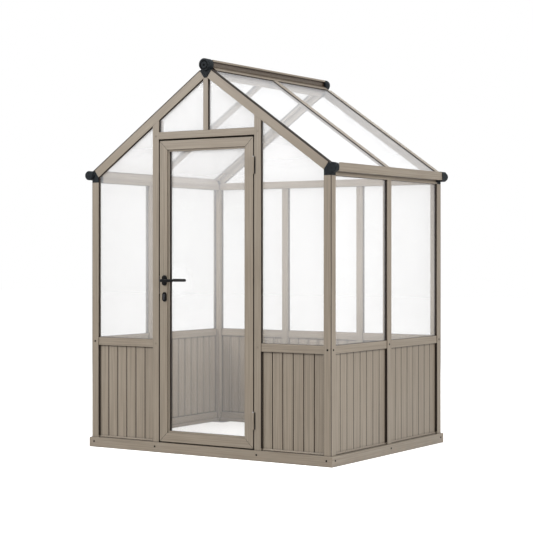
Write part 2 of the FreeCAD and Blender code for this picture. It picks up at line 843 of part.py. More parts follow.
def forend_box(grow):
    """Forend plate of the lock, or the cut for it when it is grown by a fit."""
    half = forend_width / 2 + grow
    low, high = case_bottom - forend_margin - grow, case_top + forend_margin + grow
    return box(-door_half, case_front, door_middle_y - half, door_middle_y + half, low, high)


def bolt_cut(middle, height, width, x0, x1):
    """Slot for a sliding bolt, with its fit all round."""
    half_high, half_wide = (height + bolt_fit) / 2, (width + bolt_fit) / 2
    y0, y1 = door_middle_y - half_wide, door_middle_y + half_wide
    return box(x0, x1, y0, y1, middle - half_high, middle + half_high)


def latch_stile(stile):
    """Cut the latch stile for the lock, the spindle and the lock cylinder."""
    stile = stile.cut(forend_box(forend_fit))
    stile = stile.cut(cylinder_y(spindle_hole / 2, lever_x, handle_height, -half_depth, door_back))
    return stile.cut(profile_cylinder(cylinder_fit / 2, -half_depth, door_back))


def lock_cylinder():
    """Lock cylinder body with a bore for the plug and a gap for the cam."""
    body = profile_cylinder(0, cylinder_front, cylinder_back)
    bore = (plug_diameter + plug_fit) / 2
    body = body.cut(cylinder_y(bore, lever_x, cylinder_height, cylinder_front, cylinder_back))
    half = cam_thickness / 2 + cam_gap
    radius = cam_reach + cam_gap
    bridge = cam_reach + 2 * cam_gap
    gap = box(lever_x - radius, lever_x + radius, door_middle_y - half, door_middle_y + half,
              cylinder_height - bridge, cylinder_height + radius)
    return body.cut(gap)


def key_plug():
    """Turning plug with a keyway at each end and the cam in its middle."""
    y0, y1 = cylinder_front, cylinder_back
    plug = cylinder_y(plug_diameter / 2, lever_x, cylinder_height, y0, y1)
    half = cam_thickness / 2
    cam = box(lever_x - cam_width / 2, lever_x + cam_width / 2, door_middle_y - half, door_middle_y + half,
              cylinder_height - cam_reach, cylinder_height)
    plug = plug.fuse(cam).removeSplitter()
    half_wide, half_high = keyway_width / 2, keyway_height / 2
    for start, end in ((y0, y0 + keyway_depth), (y1 - keyway_depth, y1)):
        slot = box(lever_x - half_wide, lever_x + half_wide, start, end,
                   cylinder_height - half_high, cylinder_height + half_high)
        plug = plug.cut(slot)
    return plug


def sliding_bolt(x0, x1, low, high):
    """Bar that slides along X through the forend."""
    half = latch_width / 2
    return box(x0, x1, door_middle_y - half, door_middle_y + half, low, high)


def dead_bolt():
    """Dead bolt with the talon that the cam drives."""
    low, high = bolt_middle - bolt_height / 2, bolt_middle + bolt_height / 2
    bolt = sliding_bolt(-door_half, bolt_end, low, high)
    talon = sliding_bolt(bolt_end - bolt_talon_width, bolt_end, bolt_talon_low, low)
    return bolt.fuse(talon).removeSplitter()


def strike_cuts(x0, x1):
    """Openings for the latch and the dead bolt in the strike plate and the post behind it."""
    slack = strike_slack - bolt_fit / 2
    openings = []
    for middle, height in ((handle_height, latch_height), (bolt_middle, bolt_height)):
        openings.append(bolt_cut(middle, height + 2 * slack, latch_width + 2 * slack, x0, x1))
    return openings


def strike_plate():
    """Plate on the latch post with openings for the latch and the dead bolt."""
    half = strike_width / 2
    low = bolt_middle - bolt_height / 2 - strike_margin
    high = handle_height + latch_height / 2 + strike_margin
    x0, x1 = -opening_half, -opening_half + strike_thickness
    plate = box(x0, x1, door_middle_y - half, door_middle_y + half, low, high)
    for opening in strike_cuts(x0, x1):
        plate = plate.cut(opening)
    return plate


os.makedirs("parts", exist_ok=True)

# Base
save("base_rail_front", base_rail("front"))
save("base_rail_back", base_rail("back"))
save("base_rails_side", base_rail("left"), base_rail("right"))
save("base_corner_brackets", *all_corners(base_bracket()))

# Posts and mullions
front_corner = corner_post(*front_post())
back_corner = mirror_y(corner_post(*back_post()))
save("corner_post_front_left", front_corner)
save("corner_post_front_right", mirror_x(front_corner))
save("corner_post_back_left", back_corner)
save("corner_post_back_right", mirror_x(back_corner))
hinge_post = door_post()
latch_post = mirror_x(hinge_post)
for opening in strike_cuts(-opening_half - wall, -opening_half):
    latch_post = latch_post.cut(opening)
save("latch_post", latch_post)
save("hinge_post", hinge_post)
half_mullion = mullion_face / 2
mullions = []
for side, along in (("left", left_mullion_y), ("right", right_mullion_y)):
    outline = rectangle(along - half_mullion, along + half_mullion, base_height, post_top)
    mullions.append(upright(side, along, mullion_face, mullion_depth, outline, (dado_middle,)))
save("side_mullions", *mullions)
back_inner = back_mullion_x - back_mullion_face / 2
back_outer = back_mullion_x + back_mullion_face / 2
back_outline = rectangle(back_inner, back_outer, base_height, post_top)
back_mullion = upright(
    "back", back_mullion_x, back_mullion_face, back_mullion_depth, back_outline, (dado_middle,)
)
save("back_mullions", mirror_x(back_mullion), back_mullion)

# Bays of each wall between the uprights
front_bays = ((-post_inside, -door_post_outside), (door_post_outside, post_inside))
left_bays = (
    (-post_inside_y, left_mullion_y - half_mullion),
    (left_mullion_y + half_mullion, post_inside_y),
)
right_bays = (
    (-post_inside_y, right_mullion_y - half_mullion),
    (right_mullion_y + half_mullion, post_inside_y),
)
back_bays = (
    (-post_inside, -back_outer),
    (-back_inner, back_inner),
    (back_outer, post_inside),
)
bays = {"front": front_bays, "left": left_bays, "right": right_bays, "back": back_bays}


def every_bay(sides, make):
    return [make(side, start, end) for side in sides for start, end in bays[side]]


def dado_rail(side, start, end):
    return rail(side, start, end, dado_bottom, dado_top, dado_setback, post_leg)


groups = (("front", ("front",)), ("side", ("left", "right")), ("back", ("back",)))
for group, sides in groups:
    save("dado_rails_" + group, *every_bay(sides, dado_rail))
    save("skirt_panels_" + group, *every_bay(sides, skirt))
save("skirt_foot_rails", *every_bay(bays, foot_rail))

# Door head, king post and back tie beam
door_head = rail("front", -opening_half, opening_half, door_opening_top, door_head_top, 0, post_size)
save("door_head", door_head)
half_king = king_post_width / 2
king_outline = [
    (-half_king, door_head_top),
    (half_king, door_head_top),
    (half_king, roof_under(half_king)),
    (ridge_toe, hub_foot),
    (-ridge_toe, hub_foot),
    (-half_king, roof_under(half_king)),
]
save("king_post", upright("front", 0, king_post_width, post_leg, king_outline, ()))
tie_clip = post_inside - tie_beam_lip / tan_pitch
tie_outline = [
    (-post_inside, post_top),
    (post_inside, post_top),
    (post_inside, roof_under(post_inside)),
    (tie_clip, tie_beam_top),
    (-tie_clip, tie_beam_top),
    (-post_inside, roof_under(post_inside)),
]
tie_beam = face_prism("back", tie_outline, 0, post_size)
tie_bore_outline = rectangle(-post_inside, post_inside, post_top + wall, tie_beam_top - wall)
save("back_tie_beam", tie_beam.cut(face_prism("back", tie_bore_outline, wall, post_size - wall)))

# Eaves
gutter = eave_gutter()
save("eave_gutter_right", gutter)
save("eave_gutter_left", mirror_x(gutter))
save("eave_corner_connectors", *all_corners(eave_connector()))
save("gutter_end_caps", *all_corners(gutter_cap()))

# Ridge and rafters
save("ridge_beam", ridge_beam())
front_cap = ridge_cap()
save("ridge_end_cap_front", front_cap)
save("ridge_end_cap_back", mirror_y(front_cap))
front_rafter = gable_bar(rafter_start, 0).cut(gable_bar(rafter_start, wall))
middle_rafter = rafter(middle_rafter_depth, -middle_rafter_width / 2, middle_rafter_width / 2)
save("rafters_front", front_rafter, mirror_x(front_rafter))
save("rafters_middle", middle_rafter, mirror_x(middle_rafter))
save("rafters_back", mirror_y(front_rafter), mirror_x(mirror_y(front_rafter)))

# Roof panes, cover strips and front roof seals
pane_start = rafter_start + part_gap
front_edge = -half_depth + front_seal_width
web_edge = cover_web / 2 + part_gap
back_edge = half_depth - cover_web - part_gap
roof_front = slope_bar(pane_start, roof_edge, 0, pane_thickness, front_edge, -web_edge)
roof_back = slope_bar(pane_start, roof_edge, 0, pane_thickness, web_edge, back_edge)
save("roof_panes", roof_front, mirror_x(roof_front), roof_back, mirror_x(roof_back))
middle_cover = roof_cover(-cover_web / 2, cover_web / 2, -cover_width / 2, cover_width / 2)
back_cover = roof_cover(half_depth - cover_web, half_depth, half_depth - cover_width, half_depth)
save("roof_cover_strips", middle_cover, mirror_x(middle_cover), back_cover, mirror_x(back_cover))
roof_seal = slope_bar(rafter_start, roof_edge, 0, front_seal_thickness, -half_depth, front_edge)
save("front_roof_seals", roof_seal, mirror_x(roof_seal))

# Wall panes and their seals
front_bay_outline = [
    (door_post_outside, dado_top),
    (post_inside, dado_top),
    (post_inside, roof_under(post_inside)),
    (door_post_outside, roof_under(door_post_outside)),
]
front_gable_outline = [
    (half_king, door_head_top),
    (opening_half, door_head_top),
    (opening_half, roof_under(opening_half)),
    (half_king, roof_under(half_king)),
]
back_gable_outline = [
    (-tie_clip, tie_beam_top),
    (tie_clip, tie_beam_top),
    (ridge_toe, hub_foot),
    (-ridge_toe, hub_foot),
]
front_glazing = []
for outline in (front_bay_outline, front_gable_outline):
    front_glazing.append(glazing("front", outline))
    front_glazing.append(glazing("front", [(-along, height) for along, height in outline]))
side_glazing = []
back_glazing = [glazing("back", back_gable_outline)]
for side, glazed in (("left", side_glazing), ("right", side_glazing), ("back", back_glazing)):
    for start, end in bays[side]:
        glazed.append(glazing(side, rectangle(start, end, dado_top, post_top)))
save("front_panes", *[pane for pane, seal in front_glazing])
save("side_panes", *[pane for pane, seal in side_glazing])
save("back_panes", *[pane for pane, seal in back_glazing])
save("pane_seals", *[seal for pane, seal in front_glazing + side_glazing + back_glazing])

# Screws on the posts, the base and the door head
screws = []
for side in uprights:
    for along in uprights[side]:
        screws.append(screw(side, along, dado_middle, 0))
        screws.append(screw(side, along, base_screw_height, -base_proud))
for along in (-door_post_along, door_post_along):
    screws.append(screw("front", along, door_head_middle, 0))
save("frame_screws", *screws)

# Door leaf
for edge, name in enumerate(door_members):
    member = door_bar(edge)
    if name == "door_stile_latch":
        member = latch_stile(member)
    save(name, member)
save("door_corner_cleats", *[door_cleat(x, z) for x in (-1, 1) for z in (-1, 1)])
door_pane, door_seal = door_glazing()
save("door_pane", door_pane)
save("door_pane_seal", door_seal)
save("door_stop_strips", *door_stops())

# Hinges
hinges = [hinge_parts(height) for height in hinge_heights]
save("hinge_post_leaves", *[hinge[0] for hinge in hinges])
save("hinge_door_leaves", *[hinge[1] for hinge in hinges])
save("hinge_pins", *[hinge[2] for hinge in hinges])

# Handle and lock
rose_front = -half_depth - rose_thickness
rose = oval_plate(rose_width, rose_height, rose_thickness, lever_x, handle_height, rose_front)
rose_bore = (neck_diameter + neck_fit) / 2
rose = rose.cut(cylinder_y(rose_bore, lever_x, handle_height, rose_front, -half_depth))
escutcheon_front = -half_depth - escutcheon_thickness
escutcheon_middle = cylinder_height + cylinder_round / 2 - cylinder_body_height / 2
escutcheon = oval_plate(escutcheon_width, escutcheon_height, escutcheon_thickness,
                        lever_x, escutcheon_middle, escutcheon_front)
escutcheon = escutcheon.cut(profile_cylinder(cylinder_fit / 2, escutcheon_front, -half_depth))
save("handle_roses", rose, across_door(rose), escutcheon, across_door(escutcheon))
outside_lever = lever()
save("lever_handles", outside_lever, across_door(outside_lever))
save("handle_spindle", square_bar(spindle_size, -half_depth - spindle_depth, door_back + spindle_depth))
save("lock_case", lock_case())
save("lock_cylinder", lock_cylinder())
save("key_plug", key_plug())
latch_low, latch_high = handle_height - latch_height / 2, handle_height + latch_height / 2
save("latch_bolt", sliding_bolt(-door_half - latch_reach, -door_half + latch_tail, latch_low, latch_high))
save("dead_bolt", dead_bolt())
save("strike_plate", strike_plate())
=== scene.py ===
"""Looks of a small aluminium greenhouse: finishes, trim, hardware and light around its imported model."""

import json
import logging
import math
from dataclasses import dataclass
from enum import Enum
from typing import Any, Iterable, Sequence, Union

import bmesh
import bpy
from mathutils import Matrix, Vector

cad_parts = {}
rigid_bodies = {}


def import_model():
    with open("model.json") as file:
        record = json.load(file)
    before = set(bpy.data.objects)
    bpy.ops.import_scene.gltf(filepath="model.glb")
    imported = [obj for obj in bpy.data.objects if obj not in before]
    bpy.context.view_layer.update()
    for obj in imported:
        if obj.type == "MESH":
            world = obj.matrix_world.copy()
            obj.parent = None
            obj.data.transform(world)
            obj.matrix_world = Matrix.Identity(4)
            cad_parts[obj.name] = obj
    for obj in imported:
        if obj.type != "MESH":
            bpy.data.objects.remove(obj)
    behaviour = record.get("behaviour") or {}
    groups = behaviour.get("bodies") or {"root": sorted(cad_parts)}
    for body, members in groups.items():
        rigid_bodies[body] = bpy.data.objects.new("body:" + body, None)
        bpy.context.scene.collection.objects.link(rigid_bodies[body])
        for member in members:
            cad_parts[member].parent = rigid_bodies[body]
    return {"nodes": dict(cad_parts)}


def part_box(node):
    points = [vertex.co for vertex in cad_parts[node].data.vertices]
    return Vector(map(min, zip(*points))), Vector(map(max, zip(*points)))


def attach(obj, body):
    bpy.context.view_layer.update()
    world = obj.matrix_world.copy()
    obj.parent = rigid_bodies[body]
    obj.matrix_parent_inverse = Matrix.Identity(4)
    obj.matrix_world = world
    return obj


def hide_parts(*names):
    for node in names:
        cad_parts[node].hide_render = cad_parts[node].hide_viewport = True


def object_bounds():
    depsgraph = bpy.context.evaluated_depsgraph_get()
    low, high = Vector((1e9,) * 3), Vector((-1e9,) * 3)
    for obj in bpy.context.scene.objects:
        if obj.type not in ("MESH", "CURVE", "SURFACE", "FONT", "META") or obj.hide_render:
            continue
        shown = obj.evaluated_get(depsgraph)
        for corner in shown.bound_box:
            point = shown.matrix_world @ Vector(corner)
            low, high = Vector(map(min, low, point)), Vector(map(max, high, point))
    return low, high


for leftover in list(bpy.data.objects):
    bpy.data.objects.remove(leftover)

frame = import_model()
CAD_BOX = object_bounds()

LOG = logging.getLogger("greenhouse")
MM = 0.001
# Points of a CAD mesh that are closer than this are one point.
WELD = 0.001 * MM
ROOF_PITCH = math.radians(35.2)
PITCH_SIN = math.sin(ROOF_PITCH)
PITCH_COS = math.cos(ROOF_PITCH)
SHARP_DEG = 40.0
# Exponent of an oval: 2 is an ellipse, and more gives flatter sides and tighter corners.
ELLIPSE = 2.0
# A strip's nose is rounded in so many steps, over so much of its depth at most.
NOSE_STEPS = 6
NOSE_SHARE = 0.6
SKIRT_PANELS = ("skirt_panels_front", "skirt_panels_side", "skirt_panels_back")

Colour = tuple[float, float, float, float]
Profile = tuple[tuple[float, float], ...]
Source = Union[bpy.types.Node, bpy.types.NodeSocket, float, Sequence[float]]
Feeds = dict[Union[str, int], Source]
Tree = bpy.types.NodeTree
Mesh = bmesh.types.BMesh


class Run(Enum):
    """Which way a member was extruded, and so which way its die lines run."""

    UPRIGHT = "upright"
    ACROSS = "across"
    DEPTH = "depth"
    SLOPE = "slope"

    @property
    def axis(self) -> int:
        """The axis that the lines follow, before the tilt of a slope."""
        return {Run.UPRIGHT: 2, Run.DEPTH: 1}.get(self, 0)


class Body(Enum):
    """The rigid bodies that pieces ride on."""

    HOUSE = "house"
    DOOR = "door"
    LEVERS = "lever_set"


class Slot(Enum):
    """Names of the part's material slots, which no added piece here is given."""

    NYLON = "black_nylon"
    RUBBER = "black_rubber"
    STEEL = "blackened_steel"
    HANDLE = "black_handle_metal"


def linear(hex_colour: str) -> Colour:
    """Turn an sRGB hex colour into linear light.

    Args:
        hex_colour: the colour as #RRGGBB.

    Returns:
        Red, green, blue and an alpha of 1.
    """
    shares = [int(hex_colour[start:start + 2], 16) / 255 for start in (1, 3, 5)]
    light = [share / 12.92 if share <= 0.04045 else ((share + 0.055) / 1.055) ** 2.4 for share in shares]
    return (light[0], light[1], light[2], 1.0)


def add(tree: Tree, kind: str, inputs: Feeds | None = None, **settings: Any) -> bpy.types.Node:
    """Add one node to a tree, with its settings and what feeds its inputs.

    Args:
        tree: the node tree.
        kind: the node's type name, without ShaderNode in front.
        inputs: what each input takes, by name or number: a node, one of its outputs, or a value.
        **settings: the node's own options.

    Returns:
        The new node.
    """
    node = tree.nodes.new("ShaderNode" + kind)
    for setting, value in settings.items():
        setattr(node, setting, value)
    for key, source in (inputs or {}).items():
        if isinstance(source, bpy.types.Node):
            source = source.outputs[0]
        if isinstance(source, bpy.types.NodeSocket):
            tree.links.new(source, node.inputs[key])
        else:
            node.inputs[key].default_value = source
    return node


class Finish:
    """A surface finish, which makes its material once and hands the same one out after that."""

    name: str
    roughness: float
    roughness_swing: float
    relief_strength: float
    relief_mm: float

    def paint(self, tree: Tree) -> Feeds:
        """Lay this finish's pattern.

        Args:
            tree: the material's node tree.

        Returns:
            What each input of the surface shader takes.
        """
        raise NotImplementedError

    def follow(self, tree: Tree, grain: bpy.types.Node) -> Feeds:
        """Let gloss and relief follow one grain.

        Args:
            tree: the material's node tree.
            grain: the noise that they follow.

        Returns:
            What the shader's roughness and normal take.
        """
        low, high = self.roughness - self.roughness_swing, self.roughness + self.roughness_swing
        gloss = add(tree, "MapRange", {"Value": grain, "To Min": low, "To Max": high})
        depth = {"Strength": self.relief_strength, "Distance": self.relief_mm * MM}
        return {"Roughness": gloss, "Normal": add(tree, "Bump", {"Height": grain, **depth})}

    def material(self) -> bpy.types.Material:
        """Give the finish's material.

        Returns:
            The material, made at the first call.
        """
        found = bpy.data.materials.get(self.name)
        if found:
            return found
        made = bpy.data.materials.new(self.name)
        made.use_nodes = True
        made.node_tree.nodes.clear()
        shader = add(made.node_tree, "BsdfPrincipled", self.paint(made.node_tree))
        add(made.node_tree, "OutputMaterial", {"Surface": shader})
        return made


@dataclass(frozen=True)
class PowderCoat(Finish):
    """Polyester powder baked on extruded aluminium.

    The eye gets an even satin taupe, faint lines along each bar from the die that it was pushed
    through, a fine orange peel, and painted shade that darkens the corners where two bars meet.
    """

    run: Run
    place: str = ""
    body_colour: str = "#968B7C"
    roughness: float = 0.46
    roughness_swing: float = 0.08
    # Real orange peel is about 0.5 mm: drawn coarser, so that it shows across a room.
    peel_mm: float = 2.5
    relief_strength: float = 0.12
    relief_mm: float = 0.2
    # Real die lines are about 1 mm wide: drawn coarser for the same reason.
    line_colour: str = "#766B5E"
    line_width_mm: float = 6.0
    line_length_mm: float = 420.0
    line_detail: float = 3.0
    # Noise at which a line is fullest and at which it ends, and how much of its colour it takes.
    line_range: tuple[float, float] = (0.36, 0.62)
    line_share: float = 0.55
    bloom_colour: str = "#9F9587"
    bloom_mm: float = 320.0
    bloom_detail: float = 6.0
    bloom_roughness: float = 0.55
    bloom_range: tuple[float, float] = (0.35, 0.65)
    bloom_share: float = 0.5
    corner_shade_colour: str = "#352B22"
    corner_reach_mm: float = 9.0
    corner_samples: int = 6
    # Openness at which a corner's painted shade is darkest, and at which it ends.
    corner_dark: float = 0.25
    corner_clear: float = 0.85

    @property
    def name(self) -> str:
        """The material's name, one for each run of the die lines and each place that needs its own."""
        return f"powder_coated_aluminium_{self.run.value}{self.place}"

    def paint(self, tree: Tree) -> Feeds:
        """Lay bloom, die lines and painted corner shade over the colour, and orange peel over the surface.

        Args:
            tree: the material's node tree.

        Returns:
            What each input of the surface shader takes.
        """
        place = add(tree, "TexCoord").outputs["Object"]
        tilt = 0.0
        if self.run is Run.SLOPE:
            # Both roof slopes fall away from the ridge, so the sign of X drops out.
            place = add(tree, "VectorMath", {0: place}, operation="ABSOLUTE").outputs[0]
            tilt = ROOF_PITCH
        size = [self.line_width_mm * MM] * 3
        size[self.run.axis] = self.line_length_mm * MM
        turned = {"Vector": place, "Rotation": (0.0, tilt, 0.0), "Scale": size}
        along = add(tree, "Mapping", turned, vector_type="TEXTURE")
        lines = add(tree, "TexNoise", {"Vector": along, "Scale": 1.0, "Detail": self.line_detail})
        peel = add(tree, "TexNoise", {"Vector": place, "Scale": 1 / (self.peel_mm * MM)})
        cloud = {"Vector": place, "Detail": self.bloom_detail, "Roughness": self.bloom_roughness}
        bloom = add(tree, "TexNoise", {"Scale": 1 / (self.bloom_mm * MM), **cloud})
        # Ambient occlusion darkens the colour in corners and recesses: painted shade.
        reach = {"Distance": self.corner_reach_mm * MM}
        openness = add(tree, "AmbientOcclusion", reach, samples=self.corner_samples).outputs["AO"]
        shade = linear(self.body_colour)
        for pattern, (start, end), (first, last), colour in (
            (bloom, self.bloom_range, (0.0, self.bloom_share), self.bloom_colour),
            (lines, self.line_range, (self.line_share, 0.0), self.line_colour),
            (openness, (self.corner_dark, self.corner_clear), (1.0, 0.0), self.corner_shade_colour),
        ):
            span = {"From Min": start, "From Max": end, "To Min": first, "To Max": last}
            cover = add(tree, "MapRange", {"Value": pattern, **span})
            shade = add(tree, "MixRGB", {"Fac": cover, "Color1": shade, "Color2": linear(colour)})
        return {"Base Color": shade, **self.follow(tree, peel)}


@dataclass(frozen=True)
class Mottled(Finish):
    """A finish of one material whose shade, gloss and relief vary with one grain.

    Moulded, plated and lacquered pieces all show this much at arm's length: a base shade, a second
    shade in patches of the grain's size, and a gloss that wanders with it.
    """

    name: str
    colour: str
    patch_colour: str
    # Most real grains are finer than 1 mm: drawn coarser, so that they show across a room.
    grain_mm: float
    roughness: float
    metallic: float = 0.0
    specular: float = 0.5
    relief_mm: float = 0.05
    relief_strength: float = 0.3
    roughness_swing: float = 0.1
    grain_detail: float = 4.0
    # Noise at which a patch starts, and at which it is fullest.
    patch_range: tuple[float, float] = (0.35, 0.7)

    def paint(self, tree: Tree) -> Feeds:
        """Lay the two shades, the gloss and the relief over one grain.

        Args:
            tree: the material's node tree.

        Returns:
            What each input of the surface shader takes.
        """
        place = add(tree, "TexCoord").outputs["Object"]
        scale = {"Scale": 1 / (self.grain_mm * MM), "Detail": self.grain_detail}
        grain = add(tree, "TexNoise", {"Vector": place, **scale})
        start, end = self.patch_range
        share = add(tree, "MapRange", {"Value": grain, "From Min": start, "From Max": end})
        shades = {"Color1": linear(self.colour), "Color2": linear(self.patch_colour)}
        return {
            "Base Color": add(tree, "MixRGB", {"Fac": share, **shades}),
            "Metallic": self.metallic,
            "Specular IOR Level": self.specular,
            **self.follow(tree, grain),
        }


# Glass-filled nylon, injection moulded: charcoal, with a dull spark-eroded grain.
MOULDED_NYLON = Mottled(
    "moulded_black_nylon", "#050607", "#343A3F", 6.0, 0.6, specular=0.1, relief_mm=0.4
)
# The same nylon, blacker than the grain round it: painted shade for the groove and hole of the ridge caps.
GROOVE_SHADE_NYLON = Mottled("nylon_painted_groove_shade", "#010101", "#030304", 9.0, 0.6, specular=0.02)
# EPDM rubber, extruded: brown-black and matt, with hardly any highlight.
EXTRUDED_RUBBER = Mottled("extruded_black_rubber", "#1D1611", "#281F18", 6.0, 0.7, specular=0.25)
# Die-cast zinc alloy under satin black lacquer: deep black with a soft broad highlight.
LACQUERED_ZINC = Mottled("lacquered_black_zinc_alloy", "#060607", "#0D0D0F", 5.0, 0.5, specular=0.1)
# Steel with a black oxide finish: near-black metal, slightly oily.
OXIDISED_STEEL = Mottled("black_oxide_steel", "#131211", "#1D1B1A", 1.5, 0.42, metallic=1.0)
# Zinc-plated and passivated steel: pale grey metal with a cloudy spangle.
ZINC_PLATE = Mottled("zinc_plated_steel_bright", "#B4B7BA", "#9A9EA3", 4.0, 0.34, metallic=1.0)
# Brass under black nickel plate: dark metal with a sharper shine than the lacquer round it.
BLACK_NICKEL = Mottled("black_nickel_plated_brass", "#4A4B4E", "#3A3B3E", 4.0, 0.3, metallic=1.0)
# Aluminium as it leaves the press: pale grey metal with a dull bloom.
MILL_ALUMINIUM = Mottled("mill_finish_aluminium", "#C2C4C5", "#A9ABAD", 7.0, 0.42, metallic=1.0)


@dataclass(frozen=True)
class HazyPane(Finish):
    """Extruded clear polycarbonate sheet with a damp haze on it.

    The eye looks through it, with a white bloom that thickens under the roof, where warm damp air
    settles, and that is rubbed away near a handle.
    """

    name: str
    colour: str = "#F1F2F4"
    ior: float = 1.58
    roughness: float = 0.09
    roughness_swing: float = 0.04
    # Slow unevenness of the extruded sheet, and how far the haze swings with it.
    draw_mm: float = 180.0
    draw_swing: float = 0.08
    relief_strength: float = 0.2
    relief_mm: float = 0.3
    # Share of light that each face of the sheet scatters, low on the wall and high up.
    haze_low: float = 0.14
    haze_high: float = 0.19
    low_mm: float = 420.0
    high_mm: float = 1200.0
    # More of it in the gable, above the door head.
    haze_gable: float = 0.17
    gable_low_mm: float = 1740.0
    gable_high_mm: float = 1960.0
    # Where hands rub it, this share of it stays.
    rubbed_at: Vector | None = None
    rubbed_share: float = 0.12
    rubbed_clear_mm: float = 60.0
    rubbed_edge_mm: float = 120.0

    def paint(self, tree: Tree) -> Feeds:
        """Lay the haze, thinner low down and where hands rub it.

        Args:
            tree: the material's node tree.

        Returns:
            What each input of the surface shader takes.
        """
        place = add(tree, "TexCoord").outputs["Object"]
        height = add(tree, "SeparateXYZ", {"Vector": place}).outputs["Z"]
        ramps = [
            (height, self.low_mm, self.high_mm, self.haze_low, self.haze_high),
            (height, self.gable_low_mm, self.gable_high_mm, 0.0, self.haze_gable),
        ]
        if self.rubbed_at is not None:
            reach = add(tree, "VectorMath", {0: place, 1: self.rubbed_at}, operation="DISTANCE")
            from_hand = reach.outputs["Value"]
            ramps.append((from_hand, self.rubbed_clear_mm, self.rubbed_edge_mm, self.rubbed_share, 1.0))
        shares = []
        for value, start, end, first, last in ramps:
            span = {"From Min": start * MM, "From Max": end * MM, "To Min": first, "To Max": last}
            shares.append(add(tree, "MapRange", {"Value": value, **span}, interpolation_type="SMOOTHSTEP"))
        wall, gable, *rubbed = shares
        draw = add(tree, "TexNoise", {"Vector": place, "Scale": 1 / (self.draw_mm * MM)})
        swing = {"To Min": 1 - self.draw_swing, "To Max": 1 + self.draw_swing}
        uneven = add(tree, "MapRange", {"Value": draw, **swing})
        # A damp film scatters light onwards more than it stops it, so it shades nothing behind it.
        shading = add(tree, "LightPath").outputs["Is Shadow Ray"]
        passed = add(tree, "Math", {0: 1.0, 1: shading}, operation="SUBTRACT")
        haze = add(tree, "Math", {0: wall, 1: gable}, operation="ADD")
        for factor in (uneven, *rubbed, passed):
            haze = add(tree, "Math", {0: haze, 1: factor}, operation="MULTIPLY")
        sheet = {"Base Color": linear(self.colour), "IOR": self.ior}
        return {"Alpha": haze, **sheet, **self.follow(tree, draw)}


@dataclass(frozen=True)
class Solid:
    """The box of a node, or of one separate solid of it."""

    low: Vector
    high: Vector

    @property
    def middle(self) -> Vector:
        """The middle of the box."""
        return (self.low + self.high) / 2

    @property
    def size(self) -> Vector:
        """The box's length along each axis."""
        return self.high - self.low


def solids_of(node: str) -> list[Solid]:
    """Find the separate solids of a CAD node.

    Args:
        node: the node's name.

    Returns:
        The box of each solid, in the order of their lowest corners.
    """
    mesh = bmesh.new()
    mesh.from_mesh(frame["nodes"][node].data)
    bmesh.ops.remove_doubles(mesh, verts=mesh.verts, dist=WELD)
    unseen = set(mesh.verts)
    found = []
    while unseen:
        front = [unseen.pop()]
        members = []
        while front:
            vertex = front.pop()
            members.append(vertex.co.copy())
            near = {edge.other_vert(vertex) for edge in vertex.link_edges} & unseen
            unseen -= near
            front.extend(near)
        low, high = (Vector(pick(axis) for axis in zip(*members)) for pick in (min, max))
        found.append(Solid(low, high))
    mesh.free()
    return sorted(found, key=lambda solid: tuple(solid.low))


def dress(nodes: Iterable[str], finish: Finish) -> None:
    """Give CAD nodes a finish.

    Args:
        nodes: the nodes' names.
        finish: what they are finished in.
    """
    for node in nodes:
        for slot in frame["nodes"][node].material_slots:
            slot.material = finish.material()
        LOG.info("%s: %s", node, finish.name)


def soften(nodes: Iterable[str], radius_mm: float) -> None:
    """Round the sharp edges of CAD nodes, as a die or a mould leaves them.

    Args:
        nodes: the nodes' names.
        radius_mm: the edge radius.
    """
    for node in nodes:
        piece = frame["nodes"][node]
        weld = piece.modifiers.new("join_faces", "WELD")
        weld.merge_threshold = WELD
        edge = piece.modifiers.new("edge_radius", "BEVEL")
        edge.width = radius_mm * MM
        edge.segments = 2
        edge.limit_method = "ANGLE"
        edge.angle_limit = math.radians(SHARP_DEG)
        edge.use_clamp_overlap = True
        edge.harden_normals = True


def stand(name: str, data: bpy.types.ID) -> bpy.types.Object:
    """Put an object in the scene.

    Args:
        name: the object's name.
        data: its mesh, light or camera.

    Returns:
        The new object.
    """
    made = bpy.data.objects.new(name, data)
    bpy.context.scene.collection.objects.link(made)
    return made


def stand_mesh(name: str, mesh: Mesh, material: bpy.types.Material) -> bpy.types.Object:
    """Put a mesh in the scene, with its faces turned outwards.

    Args:
        name: the object's name.
        mesh: its mesh, which is freed.
        material: what it is made of.

    Returns:
        The new object.
    """
    bmesh.ops.recalc_face_normals(mesh, faces=mesh.faces)
    data = bpy.data.meshes.new(name)
    mesh.to_mesh(data)
    mesh.free()
    data.materials.append(material)
    return stand(name, data)


def finish_piece(
    name: str, mesh: Mesh, body: Body, finish: Finish, smooth: bool = True
) -> bpy.types.Object:
    """Turn a mesh into a piece that rides on a body.

    Args:
        name: the piece's name.
        mesh: its mesh, which is freed.
        body: what it rides on.
        finish: what it is finished in.
        smooth: whether its faces are shaded as one skin.

    Returns:
        The new object.
    """
    piece = stand_mesh(name, mesh, finish.material())
    data = piece.data
    data.polygons.foreach_set("use_smooth", [smooth] * len(data.polygons))
    data.set_sharp_from_angle(angle=math.radians(SHARP_DEG))
    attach(piece, body.value)
    LOG.info("%s: %d faces on %s", name, len(data.polygons), body.value)
    return piece


def skin(mesh: Mesh, rings: Sequence[Sequence[Vector]]) -> list[list[bmesh.types.BMVert]]:
    """Skin a row of rings of equal count, with open ends.

    Args:
        mesh: where the skin goes.
        rings: the rings, in order.

    Returns:
        The vertices of each ring.
    """
    rows = [[mesh.verts.new(point) for point in points] for points in rings]
    for row, following in zip(rows, rows[1:]):
        for index in range(len(row)):
            after = (index + 1) % len(row)
            mesh.faces.new((row[index], row[after], following[after], following[index]))
    return rows


def loft(mesh: Mesh, rings: Sequence[Sequence[Vector]]) -> None:
    """Skin a row of rings of equal count and close both ends.

    Args:
        mesh: where the skin goes.
        rings: the rings, in order.
    """
    rows = skin(mesh, rings)
    mesh.faces.new(reversed(rows[0]))
    mesh.faces.new(rows[-1])


